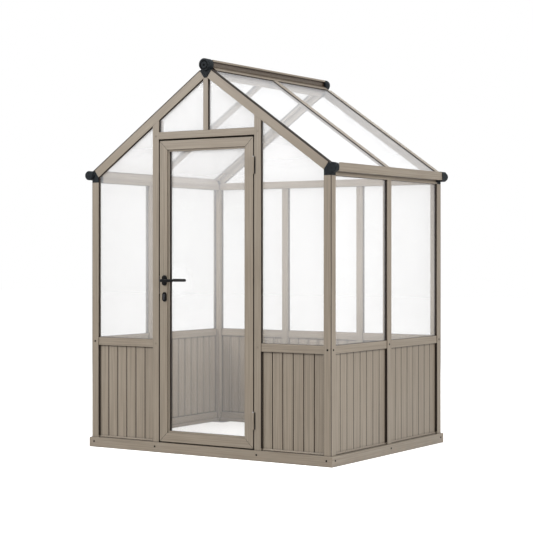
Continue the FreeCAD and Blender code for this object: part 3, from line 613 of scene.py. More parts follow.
def ring(
    centre: Vector, first: Vector, second: Vector, count: int, square: float = ELLIPSE
) -> list[Vector]:
    """Lay points round an oval.

    Args:
        centre: its middle.
        first: its first half axis.
        second: its second half axis.
        count: how many points.
        square: its exponent.

    Returns:
        The points.
    """
    points = []
    for step in range(count):
        turn = 2 * math.pi * step / count
        shares = (math.cos(turn), math.sin(turn))
        across, rise = (math.copysign(abs(share) ** (2 / square), share) for share in shares)
        points.append(centre + first * across + second * rise)
    return points


def disc(centre: Vector, radius: float, count: int) -> list[Vector]:
    """Lay a count of points round a circle that faces along Y."""
    return ring(centre, Vector((radius, 0.0, 0.0)), Vector((0.0, 0.0, radius)), count)


def lay_strip(mesh: Mesh, start: Vector, end: Vector, across: Vector, out: Vector) -> None:
    """Sweep a strip with a rounded nose, such as a gasket.

    Args:
        mesh: where the strip goes.
        start: one corner of its foot, where it starts.
        end: the same corner where it ends.
        across: its width, from that corner.
        out: its depth, from the foot to the nose.
    """
    nose = min(across.length / 2 / out.length, NOSE_SHARE)
    turns = [math.pi * step / NOSE_STEPS for step in range(NOSE_STEPS + 1)]
    section = [(0.5 - 0.5 * math.cos(turn), 1 - nose + nose * math.sin(turn)) for turn in turns]
    section = [(0.0, 0.0)] + section + [(1.0, 0.0)]
    loft(mesh, [[corner + across * wide + out * deep for wide, deep in section] for corner in (start, end)])


class Assembly:
    """A sub-assembly: the finishes of its CAD nodes, and the pieces that they leave to be added."""

    def dress(self) -> None:
        """Finish its CAD nodes, where it has any."""

    def build(self) -> None:
        """Model its added pieces, where it has any."""


@dataclass
class Base(Assembly):
    """The base rails and the anchor brackets in their corners."""

    def dress(self) -> None:
        """Coat the rails and leave the brackets bare."""
        dress(("base_rail_front", "base_rail_back"), PowderCoat(Run.ACROSS))
        dress(("base_rails_side",), PowderCoat(Run.DEPTH))
        dress(("base_corner_brackets",), MILL_ALUMINIUM)


@dataclass
class WallFrame(Assembly):
    """Posts, mullions and rails of the walls and the gable."""

    edge_mm: float = 1.2
    groove_mm: float = 3.0
    bead_mm: float = 2.6
    bead_seat_mm: float = 0.15

    def corner_posts(self) -> list[str]:
        """Name the four corner posts."""
        return [f"corner_post_{end}_{side}" for end in ("front", "back") for side in ("left", "right")]

    def build(self) -> None:
        """Lay a dark bead in the groove down the outer corner of each corner post: painted shade for the
        groove.
        """
        mesh = bmesh.new()
        inset = (self.groove_mm - self.bead_seat_mm) * MM
        for post in self.corner_posts():
            low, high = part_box(post)
            turn_x = math.copysign(1.0, low.x)
            turn_y = math.copysign(1.0, low.y)
            x = (high.x if turn_x > 0 else low.x) - turn_x * inset
            y = (high.y if turn_y > 0 else low.y) - turn_y * inset
            across = Vector((turn_x * self.bead_mm * MM, 0.0, 0.0))
            out = Vector((0.0, turn_y * self.bead_mm * MM, 0.0))
            lay_strip(mesh, Vector((x, y, low.z)), Vector((x, y, high.z)), across, out)
        # The dark bead stands in for the shade in the corner groove: painted shade.
        finish_piece("corner_groove_shade_beads", mesh, Body.HOUSE, EXTRUDED_RUBBER)

    def dress(self) -> None:
        """Coat each bar with its die lines along it, and round those that no screw goes through."""
        drilled = self.corner_posts() + ["latch_post", "hinge_post", "side_mullions", "back_mullions"]
        across = ["dado_rails_front", "dado_rails_back", "door_head", "back_tie_beam"]
        dress(drilled + ["king_post"], PowderCoat(Run.UPRIGHT))
        dress(across, PowderCoat(Run.ACROSS))
        dress(("dado_rails_side",), PowderCoat(Run.DEPTH))
        soften(across + ["dado_rails_side", "king_post"], self.edge_mm)


@dataclass
class Skirts(Assembly):
    """Grooved panels below the dado rails, and black strips of painted shade along their upright edges."""

    strip_mm: float = 2.0
    strip_setback_mm: float = 1.5
    clear_mm: float = 0.4
    lip_height_mm: float = 14.0
    lip_proud_mm: float = 7.0

    def build(self) -> None:
        """Line both upright edges of every panel, from its lip to its top, with painted shade."""
        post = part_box("corner_post_front_right")
        reach = (post[1].x, -post[0].y)
        clear = self.clear_mm * MM
        mesh = bmesh.new()
        for panel in (solid for node in SKIRT_PANELS for solid in solids_of(node)):
            outward = 0 if panel.size.x < panel.size.y else 1
            along = 1 - outward
            side = math.copysign(1.0, panel.middle[outward])
            lip_face = max(abs(panel.low[outward]), abs(panel.high[outward]))
            face = lip_face - self.lip_proud_mm * MM + clear
            lip_top = panel.low.z + self.lip_height_mm * MM + clear
            out = Vector()
            out[outward] = side * (reach[outward] - self.strip_setback_mm * MM - face)
            for edge, inward in ((panel.low[along], 1.0), (panel.high[along], -1.0)):
                foot = Vector((0.0, 0.0, lip_top))
                foot[along] = edge
                foot[outward] = side * face
                head = Vector((foot.x, foot.y, panel.high.z))
                across = Vector()
                across[along] = inward * self.strip_mm * MM
                lay_strip(mesh, foot, head, across, out)
        # The black strips stand in for the shade in the reveals beside each panel: painted shade.
        finish_piece("skirt_reveal_shade_strips", mesh, Body.HOUSE, EXTRUDED_RUBBER, smooth=False)

    def dress(self) -> None:
        """Coat the panels and the rails at their feet."""
        # Painted shade draws a dark line down each fold.
        shade = {"corner_reach_mm": 14.0, "corner_dark": 0.58, "corner_clear": 0.95}
        dress(SKIRT_PANELS, PowderCoat(Run.UPRIGHT, "_planks", **shade))
        dress(("skirt_foot_rails",), PowderCoat(Run.ACROSS))


@dataclass
class Roof(Assembly):
    """Rafters, ridge, gutters, cover strips and the moulded pieces that join them."""

    edge_mm: float = 1.2
    mould_edge_mm: float = 2.5
    # Heights of the panes, the cover strips and the ridge's flanges over the rafters' upper face.
    pane_top_mm: float = 4.05
    cover_top_mm: float = 8.5
    flange_top_mm: float = 10.0
    strip_mm: float = 8.0
    gasket_height_mm: float = 3.0
    gasket_end_mm: float = 1.0
    ridge_lip_mm: float = 3.0
    ridge_lip_height_mm: float = 2.5
    cap_points: int = 56
    cap_seat_mm: float = 0.3
    # A gutter cap's rim turns in over so much, with a shoulder so far from its side and its face.
    rim_mm: float = 3.0
    rim_shoulder_mm: float = 0.8
    # The dish in a gutter cap's face: shares of the cap's radius and of the dish's.
    dish_share: float = 0.72
    dish_core_share: float = 0.2
    dish_edge_mm: float = 1.0
    dish_mm: float = 1.2
    sleeve_mm: float = 52.0
    sleeve_wide_mm: float = 33.5
    sleeve_high_mm: float = 32.0
    sleeve_edge_mm: float = 1.5
    sleeve_square: float = 5.0
    # Shares of a ridge cap's radius. Inlays of painted shade for its groove and hole, wider than the real
    # ones so that they show.
    plug_share: float = 0.16
    plug_top_share: float = 0.112
    ring_share: tuple[float, float] = (0.56, 0.68)
    inlay_proud_mm: float = 0.4

    def slope(self, side: float, along: float, lift: float, y: float) -> Vector:
        """Find a point on a roof slope.

        Args:
            side: 1 for the right slope, -1 for the left one.
            along: distance down the slope from the apex of the rafters.
            lift: height square to the rafters' upper face.
            y: where it lies from front to back.

        Returns:
            The point.
        """
        cover = solids_of("roof_cover_strips")[0]
        inner = min(abs(cover.low.x), abs(cover.high.x)) / PITCH_COS
        apex = cover.high.z + inner * PITCH_SIN - self.cover_top_mm * MM * PITCH_COS
        x = along * PITCH_COS + lift * PITCH_SIN
        return Vector((side * x, y, apex - along * PITCH_SIN + lift * PITCH_COS))

    def build(self) -> None:
        """Model the roof gaskets, the gutter caps and the painted shade inlays of the ridge caps."""
        self.build_gaskets()
        self.build_gutter_caps()
        self.build_ridge_shade_inlays()

    def build_gaskets(self) -> None:
        """Lay black gaskets along the cover strips and under the lips of the ridge."""
        seat, end, wide = self.pane_top_mm * MM, self.gasket_end_mm * MM, self.strip_mm * MM
        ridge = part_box("ridge_beam")[1]
        lip = (ridge.x - self.flange_top_mm * MM * PITCH_SIN) / PITCH_COS
        mesh = bmesh.new()
        for side in (-1.0, 1.0):
            normal = Vector((side * PITCH_SIN, 0.0, PITCH_COS))
            down = Vector((side * PITCH_COS, 0.0, -PITCH_SIN))
            covers = [cover for cover in solids_of("roof_cover_strips") if cover.middle.x * side > 0]
            lip_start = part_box("front_roof_seals")[1].y + end
            for cover in sorted(covers, key=lambda item: item.low.y):
                near, far = sorted((abs(cover.low.x), abs(cover.high.x)))
                far -= self.cover_top_mm * MM * PITCH_SIN
                start, stop = near / PITCH_COS + end, far / PITCH_COS - end
                for edge, away in ((cover.low.y, -1.0), (cover.high.y, 1.0)):
                    if abs(edge) < ridge.y:
                        ends = [self.slope(side, along, seat, edge) for along in (start, stop)]
                        across = Vector((0.0, away * wide, 0.0))
                        lay_strip(mesh, *ends, across, normal * self.gasket_height_mm * MM)
                lip_end = cover.low.y - wide - end
                ends = [self.slope(side, lip, seat, y) for y in (lip_start, lip_end)]
                across = down * self.ridge_lip_mm * MM
                lay_strip(mesh, *ends, across, normal * self.ridge_lip_height_mm * MM)
                lip_start = cover.high.y + wide + end
        finish_piece("roof_gaskets", mesh, Body.HOUSE, EXTRUDED_RUBBER)

    def build_gutter_caps(self) -> None:
        """Model the round caps on the gutter ends: a dished disc and the half that hugs the eave."""
        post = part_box("corner_post_front_right")
        side_face, end_face = (edge + self.cap_seat_mm * MM for edge in (post[1].x, -post[0].y))
        rim, shoulder = self.rim_mm * MM, self.rim_shoulder_mm * MM
        points = self.cap_points
        mesh = bmesh.new()
        for cap in solids_of("gutter_end_caps"):
            middle = cap.middle
            side = math.copysign(1.0, middle.x)
            end = math.copysign(1.0, middle.y)
            radius = cap.size.z / 2
            back, front = sorted((abs(cap.low.y), abs(cap.high.y)))
            dish = self.dish_share * radius
            floor = front - self.dish_mm * MM
            profile = (
                (end_face, radius),
                (front - rim, radius),
                (front - shoulder, radius - shoulder),
                (front, radius - rim),
                (front, dish + self.dish_edge_mm * MM),
                (floor, dish),
                (floor, dish * self.dish_core_share),
            )
            loft(mesh, [disc(Vector((middle.x, end * y, middle.z)), size, points) for y, size in profile])
            half_turn = math.acos((side_face - abs(middle.x)) / radius)
            turns = [half_turn * (2 * step / points - 1) for step in range(points + 1)]
            arc = [(side * radius * math.cos(turn), radius * math.sin(turn)) for turn in turns]
            depths = (end * back, end * end_face)
            loft(mesh, [[Vector((middle.x + x, y, middle.z + z)) for x, z in arc] for y in depths])
            if end > 0:
                self.build_sleeve(mesh, cap, back)
        caps = finish_piece("gutter_caps_round", mesh, Body.HOUSE, MOULDED_NYLON)
        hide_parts("gutter_end_caps")

    def build_sleeve(self, mesh: Mesh, cap: Solid, start: float) -> None:
        """Model the sleeve of a back cap, which slips over the end of its gutter.

        Args:
            mesh: where the sleeve goes.
            cap: the cap's solid.
            start: where the cap meets the gutter, along Y.
        """
        rings = []
        edge = self.sleeve_edge_mm
        for y, trim in ((-self.sleeve_mm, 0.0), (-edge, 0.0), (0.0, edge)):
            centre = Vector((cap.middle.x, start + y * MM, cap.middle.z))
            first = Vector(((self.sleeve_wide_mm - trim) * MM, 0.0, 0.0))
            second = Vector((0.0, 0.0, (self.sleeve_high_mm - trim) * MM))
            rings.append(ring(centre, first, second, self.cap_points, self.sleeve_square))
        loft(mesh, rings)

    def build_ridge_shade_inlays(self) -> None:
        """Set a dark ring and a dark plug in the round face of each ridge cap: painted shade for its groove
        and centre hole.
        """
        inside, outside = self.ring_share
        plug = ((self.plug_share, 0.0), (self.plug_top_share, 1.0))
        band = ((inside, 0.0), (inside, 1.0), (outside, 1.0), (outside, 0.0))
        points = self.cap_points
        mesh = bmesh.new()
        for node, outward in (("ridge_end_cap_front", -1.0), ("ridge_end_cap_back", 1.0)):
            low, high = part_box(node)
            radius = (high.x - low.x) / 2
            hub = Vector(((low.x + high.x) / 2, low.y if outward < 0 else high.y, high.z - radius))
            out = Vector((0.0, outward * self.inlay_proud_mm * MM, 0.0))
            for profile, model in ((plug, loft), (band, skin)):
                model(mesh, [disc(hub + out * lift, radius * share, points) for share, lift in profile])
        # The black inlays stand in for the shade in each cap's groove and centre hole: painted shade.
        finish_piece("ridge_cap_shade_inlays", mesh, Body.HOUSE, GROOVE_SHADE_NYLON)

    def dress(self) -> None:
        """Coat the bars, and leave the mouldings and seals black."""
        rafters = ("rafters_front", "rafters_middle", "rafters_back", "roof_cover_strips")
        gutters = ("eave_gutter_left", "eave_gutter_right")
        ridge_caps = ("ridge_end_cap_front", "ridge_end_cap_back")
        mouldings = ("eave_corner_connectors", "gutter_end_caps") + ridge_caps
        dress(rafters, PowderCoat(Run.SLOPE))
        # Painted shade draws a dark line where each gutter hangs on its eave beam.
        damp = {"corner_reach_mm": 18.0, "corner_dark": 0.45, "corner_clear": 0.9}
        dress(gutters, PowderCoat(Run.DEPTH, "_eaves", **damp))
        # Painted shade darkens the ridge's recessed web between its flanges.
        web_shade = {"corner_reach_mm": 50.0, "corner_dark": 0.68, "corner_clear": 1.0}
        dress(("ridge_beam",), PowderCoat(Run.DEPTH, "_ridge", corner_shade_colour="#33200C", **web_shade))
        dress(mouldings, MOULDED_NYLON)
        dress(("front_roof_seals",), EXTRUDED_RUBBER)
        soften(rafters + gutters + ("ridge_beam",), self.edge_mm)
        soften(mouldings, self.mould_edge_mm)


@dataclass
class Glazing(Assembly):
    """Fixed panes of the walls and the roof, and their seals."""

    def dress(self) -> None:
        """Make the panes hazy and the seals black."""
        dress(("front_panes", "side_panes", "back_panes"), HazyPane("hazy_polycarbonate"))
        roof = HazyPane("hazy_roof_polycarbonate", haze_low=0.26, haze_high=0.26, haze_gable=0.0)
        dress(("roof_panes",), roof)
        # The black seals lining the pane reveals are real glazing seals, and also stand in for the shade in
        # the reveals: partly painted shade.
        dress(("pane_seals",), EXTRUDED_RUBBER)


@dataclass
class Door(Assembly):
    """The hinged leaf, its pane, its hinges and the strips that it closes on."""

    edge_mm: float = 0.6
    rub_beside_spindle_mm: float = 85.0
    strip_mm: float = 36.0
    strip_thickness_mm: float = 1.2
    strip_setback_mm: float = 0.4
    strip_break_mm: float = 2.0
    # Real mitre joints are hairlines: the sealant in them is drawn wider, so that it shows.
    mitre_mm: float = 1.8
    mitre_proud_mm: float = 0.25
    bead_mm: float = 11.0
    hinge_shadow_mm: float = 6.0
    hinge_shadow_gap_mm: float = 0.5

    def gap_strips(self, mesh: Mesh, x: float, low: float, high: float, gaps: list[Solid]) -> None:
        """Line a face that looks along X with a flat black strip of painted shade, broken at the hardware.

        Args:
            mesh: where the strips go.
            x: where the face lies.
            low: the strip's lowest point.
            high: its highest point.
            gaps: the pieces of hardware that break it, from the lowest up.
        """
        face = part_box("door_stile_hinge")[0].y + self.strip_setback_mm * MM
        across = Vector((0.0, self.strip_mm * MM, 0.0))
        out = Vector((self.strip_thickness_mm * MM, 0.0, 0.0))
        clear = self.strip_break_mm * MM
        for gap in gaps:
            lay_strip(mesh, Vector((x, face, low)), Vector((x, face, gap.low.z - clear)), across, out)
            low = gap.high.z + clear
        lay_strip(mesh, Vector((x, face, low)), Vector((x, face, high)), across, out)

    def build(self) -> None:
        """Line both upright gaps of the doorway with painted shade, and model the painted hinge shadows and
        the mitre sealant.
        """
        mesh = bmesh.new()
        low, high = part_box("base_rail_front")[1].z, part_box("door_head")[0].z
        # Black strips line the upright gaps beside the leaf: painted shade in the gaps.
        self.gap_strips(mesh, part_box("latch_post")[1].x, low, high, solids_of("strike_plate"))
        finish_piece("latch_gap_shade_strip", mesh, Body.HOUSE, EXTRUDED_RUBBER)
        mesh = bmesh.new()
        low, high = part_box("door_stile_hinge")
        leaves = sorted(solids_of("hinge_door_leaves"), key=lambda leaf: leaf.low.z)
        self.gap_strips(mesh, high.x, low.z, high.z, leaves)
        finish_piece("hinge_gap_shade_strip", mesh, Body.DOOR, EXTRUDED_RUBBER)
        self.build_hinge_shadows()
        self.build_mitres()

    def build_hinge_shadows(self) -> None:
        """Set a flat black strip beside the post's leaf of each hinge: a painted shadow of the hinge."""
        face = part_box("hinge_post")[0].y
        across = Vector((self.hinge_shadow_mm * MM, 0.0, 0.0))
        out = Vector((0.0, -self.strip_thickness_mm * MM, 0.0))
        mesh = bmesh.new()
        # A black strip beside each hinge leaf stands in for the hinge's shadow: painted shadow.
        for leaf in solids_of("hinge_post_leaves"):
            x = leaf.high.x + self.hinge_shadow_gap_mm * MM
            lay_strip(mesh, Vector((x, face, leaf.low.z)), Vector((x, face, leaf.high.z)), across, out)
        finish_piece("hinge_shadow_strips", mesh, Body.HOUSE, MOULDED_NYLON)

    def build_mitres(self) -> None:
        """Lay a thread of sealant along the mitres at the leaf's corners, on both faces."""
        latch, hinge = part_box("door_stile_latch"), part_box("door_stile_hinge")
        face = hinge[1].x - hinge[0].x - self.bead_mm * MM
        leaf = Solid(latch[0], hinge[1])
        middle, half = leaf.middle, leaf.size / 2
        slant = self.mitre_mm * MM * math.sqrt(0.5)
        mesh = bmesh.new()
        for turn_x, turn_z in ((-1, -1), (-1, 1), (1, -1), (1, 1)):
            shift = Vector((turn_x * slant, 0.0, -turn_z * slant))
            inset = Vector((-turn_x, 0.0, -turn_z))
            for y, outward in ((hinge[0].y, -1.0), (hinge[1].y, 1.0)):
                corner = Vector((middle.x + turn_x * half.x, y, middle.z + turn_z * half.z)) - shift / 2
                out = Vector((0.0, outward * self.mitre_proud_mm * MM, 0.0))
                lay_strip(mesh, corner + inset * slant, corner + inset * (face - slant), shift, out)
        finish_piece("mitre_sealant", mesh, Body.DOOR, EXTRUDED_RUBBER)

    def dress(self) -> None:
        """Coat the leaf, and leave the hidden pieces as they were plated or cut."""
        stiles = ("door_stile_latch", "door_stile_hinge")
        rails = ("door_rail_top", "door_rail_bottom")
        dress(stiles + ("hinge_post_leaves", "hinge_door_leaves"), PowderCoat(Run.UPRIGHT))
        dress(rails, PowderCoat(Run.ACROSS))
        rubbed = Solid(*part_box("handle_spindle")).middle
        rubbed.x += self.rub_beside_spindle_mm * MM
        rubbed.y = Solid(*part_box("door_pane")).middle.y
        haze = {"haze_low": 0.09, "haze_high": 0.16, "gable_low_mm": 1450.0, "gable_high_mm": 1800.0}
        dress(("door_pane",), HazyPane("hazy_door_polycarbonate", rubbed_at=rubbed, **haze))
        dress(("door_pane_seal", "door_stop_strips"), EXTRUDED_RUBBER)
        dress(("door_corner_cleats",), MILL_ALUMINIUM)
        dress(("hinge_pins",), ZINC_PLATE)
        soften(stiles + rails, self.edge_mm)


@dataclass
class Handle(Assembly):
    """Lever handles with their roses, and the lock below them."""

    rose_edge_mm: float = 1.5
    rose_screw_mm: float = 9.0
    rose_screw_rise_mm: float = 15.0
    rose_screw_proud_mm: float = 1.6
    # Shares of a rose screw's radius and height, from its rim to its crown.
    rose_screw_dome: Profile = ((1.0, 0.0), (0.96, 0.35), (0.8, 0.75), (0.45, 0.95), (0.1, 1.0))
    neck_mm: float = 15.0
    # Where the neck starts, as a share of the rose's thickness.
    neck_foot_share: float = 0.3
    collar_mm: float = 19.0
    collar_height_mm: float = 4.0
    # From the rose to the collar's foot and outer edge, and from its rounded top back to the neck.
    collar_foot_mm: tuple[float, float] = (0.1, 0.2)
    collar_round_mm: tuple[float, float] = (0.6, 0.8)
    collar_top_mm: float = 0.3
    bend_mm: float = 8.0
    bend_steps: int = 5
    grip_height_mm: float = 19.0
    grip_thickness_mm: float = 13.0
    grip_square: float = 4.0
    # Shares of the lever's length, each with the share of its taper that is reached there.
    taper: Profile = ((0.45, 0.25), (0.85, 0.8))
    tip_height_mm: float = 17.5
    tip_thickness_mm: float = 12.0
    tip_short_mm: float = 10.0
    tip_steps: int = 4
    tip_flat_share: float = 0.2
    ring_points: int = 16

    def lever_ring(
        self,
        pivot: Vector,
        outward: float,
        along: float,
        out: float,
        heading: float,
        height: float,
        depth: float,
    ) -> list[Vector]:
        """Lay one ring of a lever.

        Args:
            pivot: where the spindle's axis meets the door's face.
            outward: -1 for the lever outside the door, 1 for the one inside.
            along: distance from the pivot along the door.
            out: distance from the door's face.
            heading: turn from straight out (0) to along the door (a quarter turn).
            height: half the ring's height.
            depth: half its thickness.

        Returns:
            The ring's points.
        """
        square = ELLIPSE + (self.grip_square - ELLIPSE) * math.sin(heading)
        centre = pivot + Vector((along, outward * out, 0.0))
        across = Vector((math.cos(heading), -outward * math.sin(heading), 0.0))
        return ring(centre, Vector((0.0, 0.0, height)), across * depth, self.ring_points, square)

    def lever_rings(self, outward: float) -> list[list[Vector]]:
        """Lay the rings of one bent lever, from the rose to its tip.

        Args:
            outward: -1 for the lever outside the door, 1 for the one inside.

        Returns:
            The rings, in order.
        """
        end = 0 if outward < 0 else 1
        axis = Solid(*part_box("handle_spindle")).middle
        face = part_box("door_stile_latch")[end].y
        rose = abs(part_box("handle_roses")[end].y - face)
        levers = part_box("lever_handles")
        neck, collar = self.neck_mm * MM / 2, self.collar_mm * MM / 2
        grip_height, grip_depth = self.grip_height_mm * MM / 2, self.grip_thickness_mm * MM / 2
        tip_height, tip_depth = self.tip_height_mm * MM / 2, self.tip_thickness_mm * MM / 2
        reach = abs(levers[end].y - face) - grip_depth
        tip = levers[1].x - axis.x - self.tip_short_mm * MM
        bend = self.bend_mm * MM
        collar_end = rose + self.collar_height_mm * MM
        collar_foot = [rose + step * MM for step in self.collar_foot_mm]
        rounding = [step * MM for step in self.collar_round_mm]
        shaft = (
            (rose * self.neck_foot_share, neck),
            (collar_foot[0], neck),
            (collar_foot[1], collar),
            (collar_end - rounding[0], collar),
            (collar_end, collar - rounding[1]),
            (collar_end + self.collar_top_mm * MM, neck),
            (reach - bend, neck),
        )
        quarter = math.pi / 2
        stations = [(0.0, out, 0.0, radius, radius) for out, radius in shaft]
        for step in range(1, self.bend_steps + 1):
            share = step / self.bend_steps
            heading = share * quarter
            along = bend - bend * math.cos(heading)
            out = reach - bend + bend * math.sin(heading)
            height, depth = (neck + (size - neck) * share for size in (grip_height, grip_depth))
            stations.append((along, out, heading, height, depth))
        for share, taper in self.taper:
            height = grip_height + (tip_height - grip_height) * taper
            depth = grip_depth + (tip_depth - grip_depth) * taper
            stations.append((tip * share, reach, quarter, height, depth))
        for step in range(self.tip_steps):
            turn = step / self.tip_steps * quarter
            along = tip - tip_height + tip_height * math.sin(turn)
            share = math.cos(turn)
            stations.append((along, reach, quarter, tip_height * share, tip_depth * share))
        flat = self.tip_flat_share
        stations.append((tip, reach, quarter, tip_height * flat, tip_depth * flat))
        pivot = Vector((axis.x, face, axis.z))
        return [self.lever_ring(pivot, outward, *station) for station in stations]

    def build(self) -> None:
        """Model both levers, and the screws that hold the roses."""
        mesh = bmesh.new()
        for outward in (-1.0, 1.0):
            loft(mesh, self.lever_rings(outward))
        levers = finish_piece("bent_levers", mesh, Body.LEVERS, LACQUERED_ZINC)
        smoothing = levers.modifiers.new("skin", "SUBSURF")
        smoothing.levels = 1
        smoothing.render_levels = 2
        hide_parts("lever_handles")
        self.build_rose_screws()

    def build_rose_screws(self) -> None:
        """Set two domed screws in each rose."""
        axis = Solid(*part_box("handle_spindle")).middle
        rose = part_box("handle_roses")
        radius, proud = self.rose_screw_mm * MM / 2, self.rose_screw_proud_mm * MM
        mesh = bmesh.new()
        for face, outward in ((rose[0].y, -1.0), (rose[1].y, 1.0)):
            for rise in (-self.rose_screw_rise_mm * MM, self.rose_screw_rise_mm * MM):
                rings = []
                for share, lift in self.rose_screw_dome:
                    centre = Vector((axis.x, face + outward * proud * lift, axis.z + rise))
                    rings.append(disc(centre, radius * share, self.ring_points))
                loft(mesh, rings)
        finish_piece("rose_screws", mesh, Body.DOOR, LACQUERED_ZINC)

    def dress(self) -> None:
        """Finish the metal of the handle and the lock."""
        dress(("handle_roses", "lever_handles"), LACQUERED_ZINC)
        plated = ("handle_spindle", "lock_case", "latch_bolt", "dead_bolt", "strike_plate")
        dress(plated, ZINC_PLATE)
        dress(("lock_cylinder", "key_plug"), BLACK_NICKEL)
        soften(("handle_roses",), self.rose_edge_mm)


@dataclass(frozen=True)
class ScrewSeat:
    """Where one screw of the frame sits: its axis (0 for X, 1 for Y) and its head's way, top and size."""

    middle: Vector
    axis: int
    outward: float
    top: float
    length: float
    radius: float

    def at(self, across: float, rise: float, depth: float) -> Vector:
        """Find a point beside the screw's axis.

        Args:
            across: distance to the side.
            rise: distance upwards.
            depth: distance below the head's top.

        Returns:
            The point.
        """
        point = self.middle + Vector((across, across, rise))
        point[self.axis] = self.top - self.outward * depth
        return point


@dataclass
class FrameScrews(Assembly):
    """Pan-head screws with a cross recess, one on each screw of the frame."""

    # The heads are drawn larger than the model's 9 mm, by the width of a washer.
    washer_share: float = 1.25
    # A shank of 4 mm under a head of 9 mm.
    shank_share: float = 4.0 / 9.0
    head_mm: float = 2.2
    # Shares of the head's radius, and of its height below its top, from its seat to its flat.
    head_profile: Profile = ((1.0, 1.0), (1.0, 0.6), (0.93, 0.25), (0.62, 0.0))
    recess_mm: float = 4.6
    recess_slot_mm: float = 1.2
    recess_depth_mm: float = 1.1
    points: int = 24

    def build(self) -> None:
        """Model every screw in the place of its CAD solid, black or, on the door posts, coated."""
        black, coated = bmesh.new(), bmesh.new()
        house = Solid(*CAD_BOX).middle
        posts = [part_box(post) for post in ("latch_post", "hinge_post")]
        for screw in solids_of("frame_screws"):
            middle = screw.middle
            on_post = any(
                low.x < middle.x < high.x and low.y > screw.low.y and low.z < screw.low.z
                for low, high in posts
            )
            axis = 0 if screw.size.x >= screw.size.y else 1
            outward = math.copysign(1.0, middle[axis] - house[axis])
            top = (screw.high if outward > 0 else screw.low)[axis]
            radius = screw.size.z / 2 * self.washer_share
            seat = ScrewSeat(middle, axis, outward, top, screw.size[axis], radius)
            self.build_one(coated if on_post else black, seat)
        piece = finish_piece("frame_screws_pan_head", black, Body.HOUSE, OXIDISED_STEEL)
        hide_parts("frame_screws")
        finish_piece("door_post_screws", coated, Body.HOUSE, PowderCoat(Run.UPRIGHT))

    def build_one(self, mesh: Mesh, seat: ScrewSeat) -> None:
        """Model one screw: shank, rounded head and cross recess.

        Args:
            mesh: where the screw goes.
            seat: its place and size.
        """
        head = self.head_mm * MM
        profile = [(self.shank_share, seat.length), (self.shank_share, head)]
        profile += [(share, head * depth) for share, depth in self.head_profile]
        turns = [2 * math.pi * step / self.points for step in range(self.points)]
        rings = []
        for share, depth in profile:
            reach = seat.radius * share
            rings.append([seat.at(reach * math.cos(turn), reach * math.sin(turn), depth) for turn in turns])
        rows = skin(mesh, rings)
        mesh.faces.new(reversed(rows[0]))
        reach, half = self.recess_mm * MM / 2, self.recess_slot_mm * MM / 2
        cross = []
        for turn in (quarter * math.pi / 2 for quarter in range(4)):
            for across, rise in ((reach, -half), (reach, half), (half, half)):
                x = across * math.cos(turn) - rise * math.sin(turn)
                cross.append((x, across * math.sin(turn) + rise * math.cos(turn)))
        depths = (0.0, self.recess_depth_mm * MM)
        recess = [[seat.at(across, rise, depth) for across, rise in cross] for depth in depths]
        rim, floor = skin(mesh, recess)
        mesh.faces.new(floor)
        pairs = [pair for loop in (rows[-1], rim) for pair in zip(loop, loop[1:] + loop[:1])]
        bmesh.ops.triangle_fill(mesh, use_beauty=True, edges=[mesh.edges.get(pair) for pair in pairs])


@dataclass(frozen=True)
class Lamp:
    """A soft round light: where it hangs, how wide it is and its power."""

    name: str
    place: tuple[float, float, float]
    size: float
    watts: float


